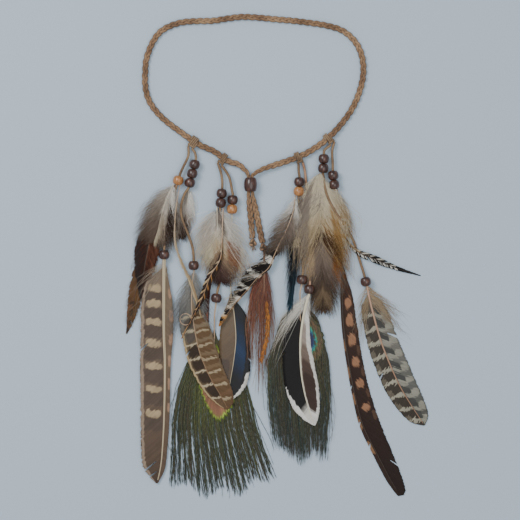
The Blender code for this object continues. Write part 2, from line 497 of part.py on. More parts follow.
def seat_point(holder, seat, height, ends):
    """Where a quill meets its bead or knot."""
    point, direction = ends[holder]
    across = Vector((-direction.y, direction.x, 0.0))
    step = -QUILL_INSERT if in_hole(holder, seat, height) else GAP
    base = point + direction * step + across * seat
    base.z = 0.0
    return base


def refine(rows, height, spans):
    """Rows of a table, with the seat's height filled in, read off smooth curves between them."""
    filled = [(u, left, right, bend, height if lift is None else lift * LAYER) for u, left, right, bend, lift in rows]
    fine = []
    for index, (a, b) in enumerate(zip(filled, filled[1:])):
        before = filled[max(index - 1, 0)]
        after = filled[min(index + 2, len(filled) - 1)]
        for i in range(spans):
            t = i / spans
            row = [a[0] + (b[0] - a[0]) * t]
            for k in range(1, 4):
                slope_a = (b[k] - before[k]) / max(b[0] - before[0], 1e-6) * (b[0] - a[0])
                slope_b = (after[k] - a[k]) / max(after[0] - a[0], 1e-6) * (b[0] - a[0])
                row.append(a[k] * (1 + 2 * t) * (1 - t) ** 2 + slope_a * t * (1 - t) ** 2
                           + b[k] * t * t * (3 - 2 * t) + slope_b * t * t * (t - 1))
            row.append(a[4] + (b[4] - a[4]) * soft_step(t))
            fine.append(row)
    return [*fine, list(filled[-1])]


def vaned_feather(name, ends):
    """A flat vane with a raised rachis, from its quill to its tip."""
    holder, seat, height, heading, length, width, rows = FEATHERS[name]
    base = seat_point(holder, seat, height, ends)
    down, right = hang_axes(heading)
    if in_hole(holder, seat, height):
        rows = [rows[0], ((QUILL_INSERT + GAP) / length, *rows[0][1:]), *rows[1:]]
    rings = []
    for u, left, right_share, bend, lift in refine(rows, height, 2):
        spine = base + down * (u * length) + right * (bend * length) + Vector((0, 0, lift))
        reach_left = max(left * width, QUILL_WIDTH * 0.3)
        reach_right = max(right_share * width, QUILL_WIDTH * 0.3)
        slim = min(1.0, 0.45 + (1.0 - u) * 8)
        edge = VANE_THICK * slim
        rings.append([spine - right * reach_left, spine + right * reach_right,
                      spine + right * reach_right + Vector((0, 0, edge)),
                      spine + Vector((0, 0, RACHIS_THICK * slim)),
                      spine - right * reach_left + Vector((0, 0, edge))])
    place_mesh(name, loft(rings), FINISH_OF[name])


def downy_plume(name, ends):
    """A puff of down: a crowned body whose two edges run out in swept locks."""
    holder, seat, height, heading, length, width, thick_share, locks, rows = PLUMES[name]
    base = seat_point(holder, seat, height, ends)
    down, right = hang_axes(heading)
    fine = refine(rows, height, 12)
    stations = 2 * locks
    sweep = length / stations * 0.55
    rings = []
    for i in range(stations + 1):
        share = i / stations
        u, left, right_share, bend, lift = min(fine, key=lambda row: abs(row[0] - share))
        spine = base + down * (u * length) + right * (bend * length) + Vector((0, 0, lift))
        tip = i % 2 == 1
        factor = 1.0 if tip or i in (0, stations) else 0.80
        ahead = down * (sweep if tip else 0.0)
        thick = PLUME_THICK * thick_share * min(1.0, 0.5 + 3 * share, 0.35 + 4 * (1 - share))
        reach_left, reach_right = left * width * factor, right_share * width * factor
        rings.append([spine - right * reach_left + ahead + Vector((0, 0, thick * 0.25)),
                      spine - right * reach_left * 0.5,
                      spine + right * reach_right * 0.5,
                      spine + right * reach_right + ahead + Vector((0, 0, thick * 0.25)),
                      spine + right * reach_right * 0.4 + Vector((0, 0, thick)),
                      spine - right * reach_left * 0.4 + Vector((0, 0, thick))])
    place_mesh(name, loft(rings), FINISH_OF[name])


def barb_fringe(name, ends):
    """A stem that opens into a flat fan cut into fingers, made from its outline and given a thickness."""
    holder, height, heading, length, layer, stem, left, tips, right_side, valley = FRINGES[name]
    base = seat_point(holder, 0.0, height, ends)
    down, right = hang_axes(heading)
    outline = [(0.0, -0.8 / length), *((u, bend - half / length) for u, bend, half in stem), *left]
    for index, (u, v) in enumerate(tips):
        outline += [(u, v - 0.008), (u, v + 0.008)]
        if index < len(tips) - 1:
            outline.append((min(valley, u - 0.05), (v + tips[index + 1][1]) / 2 * valley / 0.82))
    outline += [*right_side, *((u, bend + half / length) for u, bend, half in reversed(stem)), (0.0, 0.8 / length)]
    bm = bmesh.new()
    flat = bm.faces.new([bm.verts.new((base + down * (u * length) + right * (v * length)) * MM) for u, v in outline])
    flat.normal_update()
    under = bmesh.ops.triangulate(bm, faces=[flat])["faces"]
    made = bmesh.ops.extrude_face_region(bm, geom=under, use_keep_orig=True)
    raised = [item for item in made["geom"] if isinstance(item, bmesh.types.BMVert)]
    bmesh.ops.translate(bm, vec=(0, 0, HERL_THICK * MM), verts=raised)
    drop = stem[-1][0] * length
    for vert in bm.verts:
        along = (vert.co / MM - base).dot(down)
        rest = layer * LAYER
        vert.co.z += (rest + (height - rest) * (1 - soft_step(along / drop))) * MM
    place_mesh(name, bm, FINISH_OF[name])


def centre_bead():
    bm = drilled_barrel(CENTRE_BEAD_LENGTH, CENTRE_RADIUS, CENTRE_HOLE, 16, 0.9)
    turn_to(bm, Vector((0.0, 0.0, CENTRE_RADIUS)), Vector((0.0, 1.0, 0.0)))
    place_mesh("centre_bead", bm, "dark_wood", 60.0)


def tail_knot(side):
    """The overhand knot that ends one tail, as a rounded lump."""
    radius = TAIL_KNOT_DIAMETER / 2
    start, end = tail_end(side) * 0.9, tail_end(side)
    direction = (end - start).normalized()
    centre = end + direction * (radius + GAP)
    centre.z = radius
    bm = bmesh.new()
    bmesh.ops.create_uvsphere(bm, u_segments=10, v_segments=6, radius=radius * MM)
    lowest = min(vert.co.z for vert in bm.verts)
    bmesh.ops.translate(bm, vec=centre * MM - Vector((0, 0, radius * MM + lowest)), verts=bm.verts)
    place_mesh(f"tail_knot_{side}", bm, "waxed_cord", 60.0)
    return centre + direction * radius, direction


def settle_root():
    """Puts the part's origin under the middle of its box, on the surface that it lies on."""
    bpy.context.view_layer.update()
    graph = bpy.context.evaluated_depsgraph_get()
    corners = []
    for piece in ROOT.children:
        shown = piece.evaluated_get(graph)
        corners += [shown.matrix_world @ vert.co for vert in shown.to_mesh().vertices]
        shown.to_mesh_clear()
    low = [min(corner[k] for corner in corners) for k in range(3)]
    high = [max(corner[k] for corner in corners) for k in range(3)]
    ROOT.location = (-(low[0] + high[0]) / 2, -(low[1] + high[1]) / 2, -low[2])


clear_scene()
ROOT = bpy.data.objects.new("headband_root", None)
bpy.context.scene.collection.objects.link(ROOT)

LOOP = loop_route()
KNOT_SPOTS = knot_places(LOOP)
braid(LOOP, KNOT_SPOTS)
centre_bead()
for knot_name, (knot_spot, knot_tangent, knot_size) in KNOT_SPOTS.items():
    knot_sleeve(f"knot_{knot_name}", knot_spot, knot_tangent, knot_size)
ENDS = {f"{tail}_tail": tail_knot(tail) for tail in ("left", "right")}
for cord_name in CORDS:
    ENDS.update(thread(cord_name, KNOT_SPOTS))
for feather_name in FEATHERS:
    vaned_feather(feather_name, ENDS)
for plume_name in PLUMES:
    downy_plume(plume_name, ENDS)
for fringe_name in FRINGES:
    barb_fringe(fringe_name, ENDS)
settle_root()
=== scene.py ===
"""A feathered headband lying flat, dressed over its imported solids. Sizes are in millimetres from the centre bead."""

import math
import random

import bmesh
import bpy
from mathutils import Matrix, Vector


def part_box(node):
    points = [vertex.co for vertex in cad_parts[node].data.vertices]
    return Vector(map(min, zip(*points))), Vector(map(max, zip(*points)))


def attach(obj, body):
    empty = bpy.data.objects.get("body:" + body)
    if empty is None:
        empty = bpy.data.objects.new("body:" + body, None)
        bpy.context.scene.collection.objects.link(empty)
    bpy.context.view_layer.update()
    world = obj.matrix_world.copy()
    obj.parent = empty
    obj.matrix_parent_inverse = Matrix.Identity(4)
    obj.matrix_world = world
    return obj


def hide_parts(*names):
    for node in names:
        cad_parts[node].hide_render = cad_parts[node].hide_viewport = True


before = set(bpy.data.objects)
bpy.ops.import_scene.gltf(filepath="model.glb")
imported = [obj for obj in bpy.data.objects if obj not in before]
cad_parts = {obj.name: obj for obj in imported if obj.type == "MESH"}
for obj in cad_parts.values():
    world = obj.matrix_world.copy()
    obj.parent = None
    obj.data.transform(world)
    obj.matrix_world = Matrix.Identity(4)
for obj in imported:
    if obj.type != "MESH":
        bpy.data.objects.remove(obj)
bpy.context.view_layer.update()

# The plaited band
# One long plait of three flat tan laces. It runs up through the centre bead, round the head and back down
# through the bead, where the two ends hang as tails.
MM = 0.001
WELD = 0.000002
bead_low, bead_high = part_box("centre_bead")
ORIGIN = Vector(((bead_low.x + bead_high.x) / 2, (bead_low.y + bead_high.y) / 2, 0.0))
UP = Vector((0.0, 0.0, 1.0))

LOOP_WIDTH = 205.0
LOOP_DEPTH = 158.0
BRAID_WIDTH = 6.2
BRAID_THICK = 4.0
STRAND_PERIOD = 19.5
LACE_WIDTH = 2.9
LACE_THICK = 2.0
TAIL_LENGTH = 44.0
LANE_WIDTH = 3.4
LANE_OFFSET = 1.85
LANE_REACH = 17.0
LIFT_REACH = 24.0
CENTRE_BEAD_LENGTH = 13.0
CENTRE_RADIUS = 6.2
KNOT_WALL = 1.6
KNOT_LENGTH = 6.4
GAP = 0.3
FIBRE_MM = 6.0
BAND_STEPS = 1100
LOOP_ROUTE = [
    (-0.018, 0.076), (-0.055, 0.121), (-0.103, 0.140), (-0.169, 0.200), (-0.239, 0.240), (-0.321, 0.314),
    (-0.387, 0.378), (-0.436, 0.442), (-0.469, 0.511), (-0.483, 0.591), (-0.483, 0.676), (-0.473, 0.772),
    (-0.419, 0.905), (-0.313, 0.968), (-0.173, 0.977), (-0.042, 1.000), (0.106, 0.987), (0.270, 0.965),
    (0.418, 0.921), (0.500, 0.809), (0.517, 0.644), (0.467, 0.453), (0.369, 0.293), (0.270, 0.197),
    (0.193, 0.152), (0.111, 0.117), (0.055, 0.092), (0.022, 0.068),
]
TAIL_LEANS = {"left": 5.0, "right": 11.0}
TAIL_EXTRA = {"left": 0.0, "right": 5.0}
KNOTS = {"a": (0.104, 1.35), "b": (0.046, 1.0), "c": (0.922, 1.0), "d": (0.862, 1.0)}


def place(point):
    """A point in millimetres from the centre bead, as metres in the part's frame."""
    return point * MM + ORIGIN


def paint(code):
    """An sRGB hex value as linear red, green, blue and alpha."""
    parts = [int(code[i:i + 2], 16) / 255 for i in (1, 3, 5)]
    return (*(p / 12.92 if p <= 0.04045 else ((p + 0.055) / 1.055) ** 2.4 for p in parts), 1.0)


def add(tree, kind, values=None, links=None, **settings):
    """One shader node with its settings, its socket values and its links."""
    node = tree.nodes.new(kind)
    for name, value in settings.items():
        setattr(node, name, value)
    for socket, value in (values or {}).items():
        node.inputs[socket].default_value = value
    for socket, source in (links or {}).items():
        tree.links.new(source, node.inputs[socket])
    return node


def new_finish(name, **values):
    """A named Principled material with its plain values, its tree and its shader."""
    material = bpy.data.materials.new(name)
    material.use_nodes = True
    tree = material.node_tree
    shader = tree.nodes["Principled BSDF"]
    for socket, value in values.items():
        shader.inputs[socket.replace("_", " ")].default_value = value
    return material, tree, shader


def ramp_stops(node, stops):
    """Fills a colour ramp with (position, colour) stops."""
    ramp = node.color_ramp
    while len(ramp.elements) > 1:
        ramp.elements.remove(ramp.elements[-1])
    ramp.elements[0].position, ramp.elements[0].color = stops[0]
    for position, colour in stops[1:]:
        ramp.elements.new(position).color = colour
    return node


def tone_ramp(tree, source, stops):
    """The colour of a ramp over a value, from (position, hex colour) stops."""
    node = add(tree, "ShaderNodeValToRGB", links={"Fac": source})
    return ramp_stops(node, [(at, paint(code)) for at, code in stops]).outputs["Color"]


def reckon(tree, operation, *terms):
    """The value of a Math node. Each term is a number or another node's output."""
    values = {at: term for at, term in enumerate(terms) if isinstance(term, (int, float))}
    links = {at: term for at, term in enumerate(terms) if at not in values}
    return add(tree, "ShaderNodeMath", values, links, operation=operation).outputs[0]


def blend(tree, share, under, over, **settings):
    """The colour of a Mix node. Each term is a value or another node's output."""
    terms = {0: share, 6: under, 7: over}
    links = {at: term for at, term in terms.items() if isinstance(term, bpy.types.NodeSocket)}
    values = {at: term for at, term in terms.items() if at not in links}
    return add(tree, "ShaderNodeMix", values, links, data_type="RGBA", **settings).outputs[2]


def lit(tree, colour, light):
    """A colour made lighter or darker by a value."""
    return add(tree, "ShaderNodeVectorMath", links={0: colour, 1: light}, operation="MULTIPLY").outputs[0]


def read_uv(tree, uv_map):
    """The separate values of a UV map."""
    chart = add(tree, "ShaderNodeUVMap", uv_map=uv_map).outputs[0]
    return add(tree, "ShaderNodeSeparateXYZ", links={0: chart}).outputs


def patches(tree, size_mm, **values):
    """Noise in the piece's own space, with patches of about this size."""
    spot = add(tree, "ShaderNodeTexCoord")
    return add(tree, "ShaderNodeTexNoise", {"Scale": 1 / (size_mm * MM), **values},
               {"Vector": spot.outputs["Object"]}).outputs["Fac"]


def chance_of(tree, source):
    """A random value for each value of the source."""
    return add(tree, "ShaderNodeTexWhiteNoise", links={"W": source}, noise_dimensions="1D").outputs["Value"]


def even_steps(length, count):
    """Distances at even steps from 0 to the length."""
    return [length * i / count for i in range(count + 1)]


def smooth_points(points, spans=6, leave=None, arrive=None):
    """A smooth curve through the points, as a dense list. It can leave and arrive in set directions."""
    before = points[0] * 2 - points[1]
    after = points[-1] * 2 - points[-2]
    if leave is not None:
        before = points[1] - leave * 2 * (points[1] - points[0]).length
    if arrive is not None:
        after = points[-2] + arrive * 2 * (points[-1] - points[-2]).length
    ends = [before, *points, after]
    dense = []
    for a, b, c, d in zip(ends, ends[1:], ends[2:], ends[3:]):
        for i in range(spans):
            t = i / spans
            dense.append(0.5 * ((2 * b) + (c - a) * t + (2 * a - 5 * b + 4 * c - d) * t * t
                                + (3 * b - a - 3 * c + d) * t ** 3))
    return [*dense, points[-1].copy()]


class Route:
    """A polyline that can be read by the distance along it."""

    def __init__(self, points):
        self.points = points
        self.at = [0.0]
        for a, b in zip(points, points[1:]):
            self.at.append(self.at[-1] + (b - a).length)
        self.length = self.at[-1]
        self.last = 1

    def point(self, distance):
        distance = min(max(distance, 0.0), self.length)
        i = self.last if self.at[self.last - 1] <= distance else 1
        while i < len(self.at) - 1 and distance > self.at[i]:
            i += 1
        self.last = i
        share = (distance - self.at[i - 1]) / max(self.at[i] - self.at[i - 1], 1e-9)
        return self.points[i - 1].lerp(self.points[i], share)

    def tangent(self, distance, reach=1.0):
        return (self.point(distance + reach) - self.point(distance - reach)).normalized()


def soft_step(value):
    value = min(max(value, 0.0), 1.0)
    return value * value * (3 - 2 * value)


def bent_grid(bm, along, across, position, uv=None, second=None, keep=None, material=0):
    """A grid of along by across cells, bent by position(i, j). keep(i, j) says which cells stay."""
    made = bmesh.ops.create_grid(bm, x_segments=along, y_segments=across, size=1.0)["verts"]
    cell = {}
    for vert in made:
        i, j = round((vert.co.x + 1) / 2 * along), round((vert.co.y + 1) / 2 * across)
        cell[vert] = (i, j)
    faces = {face for vert in made for face in vert.link_faces}
    gone = []
    for face in faces:
        face.material_index = material
        face.smooth = True
        corner = min(cell[vert][0] for vert in face.verts), min(cell[vert][1] for vert in face.verts)
        if keep is not None and not keep(*corner):
            gone.append(face)
            continue
        for loop in face.loops:
            if uv is not None:
                loop[bm.loops.layers.uv["surface"]].uv = uv(*cell[loop.vert])
            if second is not None:
                loop[bm.loops.layers.uv["detail"]].uv = second(*cell[loop.vert])
    for vert in made:
        vert.co = place(position(*cell[vert]))
    if gone:
        bmesh.ops.delete(bm, geom=gone, context="FACES")
    return [vert for vert in made if vert.is_valid]


def sweep(bm, route, stops, section, around=10, offset=None, caps=True, material=0, turn=0.0):
    """A tube along a route. section(share) gives its half width and half height; offset moves its centre."""
    centres, sides, tops = [], [], []
    for stop in stops:
        centre, forward = route.point(stop), route.tangent(stop, 0.6)
        side = forward.cross(UP)
        side = side.normalized() if side.length > 0.05 else Vector((1.0, 0.0, 0.0))
        centres.append(centre + (offset(stop, side, forward) if offset else Vector()))
        sides.append(side)
    for i in range(len(centres)):
        forward = (centres[min(i + 1, len(centres) - 1)] - centres[max(i - 1, 0)]).normalized()
        sides[i] = (sides[i] - forward * sides[i].dot(forward)).normalized()
        tops.append(sides[i].cross(forward).normalized())
    count = len(stops) - 1

    def ring(i, j):
        angle = math.tau * j / around + turn
        wide, high = section(stops[i] / max(stops[-1], 1e-6))
        return centres[i] + sides[i] * math.cos(angle) * wide + tops[i] * math.sin(angle) * high

    verts = bent_grid(bm, count, around, ring, lambda i, j: (stops[i] / 100, j / around), material=material)
    bmesh.ops.remove_doubles(bm, verts=verts, dist=WELD)
    if caps:
        edges = [e for e in {e for v in verts if v.is_valid for e in v.link_edges} if e.is_boundary]
        filled = bmesh.ops.holes_fill(bm, edges=edges, sides=around + 2)["faces"]
        for face in filled:
            face.material_index = material


def begin():
    """An empty bmesh with the two UV maps that the finishes read."""
    bm = bmesh.new()
    bm.loops.layers.uv.new("surface")
    bm.loops.layers.uv.new("detail")
    return bm


def hand_over(name, bm, nodes, finishes):
    """Makes the piece from its bmesh, and puts it on the part in place of its solids."""
    bmesh.ops.recalc_face_normals(bm, faces=bm.faces)
    mesh = bpy.data.meshes.new(name)
    bm.to_mesh(mesh)
    bm.free()
    for finish in finishes:
        mesh.materials.append(finish)
    piece = bpy.data.objects.new(name, mesh)
    bpy.context.scene.collection.objects.link(piece)
    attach(piece, "root")
    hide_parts(*nodes)
    return piece


def tail_end(side):
    lean = math.radians(TAIL_LEANS[side])
    start = Vector((LANE_OFFSET * (-1 if side == "left" else 1), -CENTRE_BEAD_LENGTH / 2, 0.0))
    return start + Vector((math.sin(lean), -math.cos(lean), 0.0)) * (TAIL_LENGTH + TAIL_EXTRA[side])


loop = Route(smooth_points([Vector((x * LOOP_WIDTH, y * LOOP_DEPTH, 0.0)) for x, y in LOOP_ROUTE]))
knot_spots = {name: (loop.point(share * loop.length), loop.tangent(share * loop.length, 3.0), size)
              for name, (share, size) in KNOTS.items()}

half_bead = CENTRE_BEAD_LENGTH / 2
lane_left, lane_right = Vector((-LANE_OFFSET, 0.0, 0.0)), Vector((LANE_OFFSET, 0.0, 0.0))
bead_mouth = Vector((0.0, half_bead + 1.5, 0.0))
band_points = [tail_end("left"), tail_end("left").lerp(lane_left - bead_mouth, 0.5), lane_left - bead_mouth,
               lane_left, lane_left + bead_mouth, *(loop.points[i] for i in range(0, len(loop.points), 3)),
               lane_right + bead_mouth, lane_right, lane_right - bead_mouth,
               tail_end("right").lerp(lane_right - bead_mouth, 0.5), tail_end("right")]
band_route = Route(smooth_points(band_points))


def band_narrowing(centre):
    """1 along the band, less where it squeezes through the centre bead."""
    near = soft_step((abs(centre.y) - half_bead + 1.0) / LANE_REACH if abs(centre.x) < 20 else 1.0)
    return (LANE_WIDTH + (BRAID_WIDTH - LANE_WIDTH) * near) / BRAID_WIDTH


def band_lift(centre):
    """How far the band's underside is off the table, near the bead and at the knots."""
    lift = 0.0
    if abs(centre.x) < 30:
        lift = (CENTRE_RADIUS - BRAID_THICK / 2) * (1 - soft_step((abs(centre.y) - half_bead) / LIFT_REACH))
    for spot, _, size in knot_spots.values():
        away = (Vector((centre.x, centre.y, 0)) - spot).length - KNOT_LENGTH / 2 * size
        lift = max(lift, (GAP + KNOT_WALL) * (1 - soft_step(away / LIFT_REACH)))
    return lift


def lace_finish(name, light, mid, dark, thread_mm):
    """Waxed flat lace: long fibres along it, with painted shade: full colour on the top of each lace and darker down
    its sides and underneath, where the laces press together. Matt with a faint sheen.
    """
    material, tree, shader = new_finish(name, Roughness=0.66, Sheen_Weight=0.25, Specular_IOR_Level=0.35)
    surface = add(tree, "ShaderNodeUVMap", uv_map="surface").outputs[0]
    stretch = add(tree, "ShaderNodeMapping", {"Scale": (100 / FIBRE_MM, 5.0, 1.0)}, {"Vector": surface})
    fibre = add(tree, "ShaderNodeTexNoise", {"Scale": 3.0, "Detail": 5.0, "Roughness": 0.7},
                {"Vector": stretch.outputs[0]}).outputs["Fac"]
    half = reckon(tree, "MULTIPLY", reckon(tree, "ADD", fibre, patches(tree, 14.0, Detail=3.0)), 0.5)
    tone = tone_ramp(tree, half, [(0.34, dark), (0.5, mid), (0.64, light)])
    turn = add(tree, "ShaderNodeSeparateXYZ", links={0: surface})
    # Painted shade: this ramp around each lace keeps its top at full colour and darkens its sides and underside.
    edge = ramp_stops(add(tree, "ShaderNodeValToRGB", links={"Fac": turn.outputs[1]}), [
        (at, (v, v, v, 1)) for at, v in ((0.0, 0.2), (0.1, 0.6), (0.18, 1.0), (0.32, 1.0), (0.4, 0.6), (0.5, 0.2))])
    tone_with_painted_shade = blend(tree, 1.0, tone, edge.outputs["Color"], blend_type="MULTIPLY")
    tree.links.new(tone_with_painted_shade, shader.inputs["Base Color"])
    thread = add(tree, "ShaderNodeTexWave",
                 {"Scale": 100 / thread_mm / math.tau * 2, "Distortion": 1.5, "Detail": 2.0},
                 {"Vector": surface}, wave_type="BANDS", bands_direction="DIAGONAL")
    bump = add(tree, "ShaderNodeBump", {"Strength": 0.35, "Distance": 0.0003}, {"Height": thread.outputs["Fac"]})
    rough = add(tree, "ShaderNodeBump", {"Strength": 0.5, "Distance": 0.0003},
                {"Height": fibre, "Normal": bump.outputs[0]})
    tree.links.new(rough.outputs[0], shader.inputs["Normal"])
    return material


band_lace = lace_finish("waxed_tan_lace", "#BC966F", "#957151", "#5C412C", 1.2)
band = begin()
band_stops = even_steps(band_route.length, BAND_STEPS)


def lace_size(share):
    """Half the width and half the thickness of one lace of the plait."""
    return LACE_WIDTH / 2 * band_narrowing(band_route.point(share * band_route.length)), LACE_THICK / 2


for strand in range(3):
    phase = math.tau * strand / 3

    def wander(stop, side, _forward, phase=phase):
        """The strand's swing from edge to edge, passing over one neighbour and under the other."""
        centre = band_route.point(stop)
        swing = math.tau * stop / STRAND_PERIOD + phase
        narrow = band_narrowing(centre)
        reach = (BRAID_WIDTH * narrow - LACE_WIDTH * narrow) / 2
        height = band_lift(centre) + BRAID_THICK / 2 + math.sin(2 * swing) * (BRAID_THICK - LACE_THICK) / 2 * 0.95
        return side * math.sin(swing) * reach + UP * height

    sweep(band, band_route, band_stops, lace_size, around=8, offset=wander)
hand_over("plaited_band", band, ["headband_braid"], [band_lace])

# The centre bead
# A large barrel bead of dark wood, turned, stained and lacquered. It slides on the two runs of the band and
# closes the loop.
BEAD_FLAT = 0.35
BEAD_CHAMFER = 0.25
CENTRE_HOLE = 3.7


def bead_finish(name, dark, mid, light, gloss, grain_mm):
    """Turned wood under clear lacquer: fine streaks along the grain, deepened by the stain, with a wet gloss."""
    material, tree, shader = new_finish(name, Roughness=gloss, Coat_Weight=0.55, Coat_Roughness=0.16,
                                        Specular_IOR_Level=0.5)
    spot = add(tree, "ShaderNodeTexCoord")
    stretch = add(tree, "ShaderNodeMapping", {"Scale": (1.0, 0.22, 1.0), "Rotation": (0.2, 0.1, 0.15)},
                  {"Vector": spot.outputs["Object"]})
    grain = add(tree, "ShaderNodeTexNoise", {"Scale": 1 / (grain_mm * MM), "Detail": 4.0, "Roughness": 0.6,
                                             "Distortion": 0.6}, {"Vector": stretch.outputs[0]}).outputs["Fac"]
    tone = tone_ramp(tree, grain, [(0.32, dark), (0.52, mid), (0.7, light)])
    tree.links.new(tone, shader.inputs["Base Color"])
    bump = add(tree, "ShaderNodeBump", {"Strength": 0.12, "Distance": 0.0002}, {"Height": grain})
    tree.links.new(bump.outputs[0], shader.inputs["Normal"])
    return material


def turned_bead(name, node, centre, direction, length, radius, hole, roundness, finish):
    """A bead spun from its section: rounded cheeks, a small flat at each end and a softened hole."""
    bm = begin()
    steps = 18
    section = []
    for i in range(steps + 1):
        x = -math.cos(math.pi * i / steps)
        rise = (1 - abs(x) ** roundness) ** (1 / roundness) if abs(x) < 1 else 0.0
        mouth = hole + BEAD_FLAT
        section.append((x * length / 2, max(mouth, mouth + (radius - hole - BEAD_FLAT) * rise)))
    section += [(length / 2 - BEAD_CHAMFER, hole), (-length / 2 + BEAD_CHAMFER, hole)]
    verts = [bm.verts.new((x * MM, 0.0, r * MM)) for x, r in section]
    edges = [bm.edges.new(pair) for pair in zip(verts, verts[1:] + verts[:1])]
    bmesh.ops.spin(bm, geom=verts + edges, axis=(1, 0, 0), cent=(0, 0, 0), steps=40, angle=math.tau, use_merge=True)
    bmesh.ops.remove_doubles(bm, verts=bm.verts, dist=WELD)
    for face in bm.faces:
        face.smooth = True
    turn = Matrix.Rotation(math.atan2(direction.y, direction.x), 4, "Z")
    bmesh.ops.transform(bm, matrix=Matrix.Translation(place(centre)) @ turn, verts=bm.verts)
    return hand_over(name, bm, [node], [finish])


dark_wood = bead_finish("lacquered_dark_wood", "#27130D", "#42241A", "#70432F", 0.36, 1.8)
light_wood = bead_finish("lacquered_pale_wood", "#8F5526", "#B87A42", "#D29C60", 0.3, 1.1)
turned_bead("large_bead", "centre_bead", Vector((0, 0, CENTRE_RADIUS)), Vector((0, 1, 0)), length=CENTRE_BEAD_LENGTH,
            radius=CENTRE_RADIUS, hole=CENTRE_HOLE, roundness=2.1, finish=dark_wood)

# The tail knots
# Each end of the plait is tied in an overhand knot, which keeps the centre bead on. Frayed lace ends show below.
TAIL_KNOT = 8.4
CORE_RADIUS = 2.7

for side_name in ("left", "right"):
    end = tail_end(side_name)
    pull = (end - end * 0.9).normalized()
    heart = end + pull * (TAIL_KNOT / 2 + GAP)
    heart.z = TAIL_KNOT / 2
    over = pull.cross(UP).normalized()
    turns = []
    for step in range(61):
        a = math.tau * step / 60
        x, y, z = math.sin(a) + 1.7 * math.sin(2 * a), math.cos(a) - 1.7 * math.cos(2 * a), -math.sin(3 * a)
        turns.append(heart + over * x * 1.05 + pull * y * 1.05 + UP * z * 1.35)
    knot_bm = begin()
    knot_route = Route(turns)
    sweep(knot_bm, knot_route, even_steps(knot_route.length, 90), lambda share: (1.35, 1.2), around=10)
    core = bmesh.ops.create_icosphere(knot_bm, subdivisions=3, radius=CORE_RADIUS * MM)["verts"]
    bmesh.ops.translate(knot_bm, vec=place(heart), verts=core)
    for face in {f for v in core for f in v.link_faces}:
        face.smooth = True
    rng = random.Random(7 if side_name == "left" else 9)
    for _ in range(7):
        lean = rng.uniform(-0.5, 0.5)
        tip = heart + pull * rng.uniform(6.0, 8.5) + over * lean * 6 + UP * (rng.uniform(0.6, 3.0) - heart.z)
        start = heart + pull * 3.0 + over * lean * 2.5 + UP * (rng.uniform(2.5, 5.0) - heart.z)
        frayed = Route(smooth_points([start, start.lerp(tip, 0.5) + UP * 0.4, tip]))
        sweep(knot_bm, frayed, even_steps(frayed.length, 6), lambda s: (0.55 - 0.35 * s, 0.45 - 0.3 * s), around=5)
    hand_over(f"overhand_knot_{side_name}", knot_bm, [f"tail_knot_{side_name}"], [band_lace])

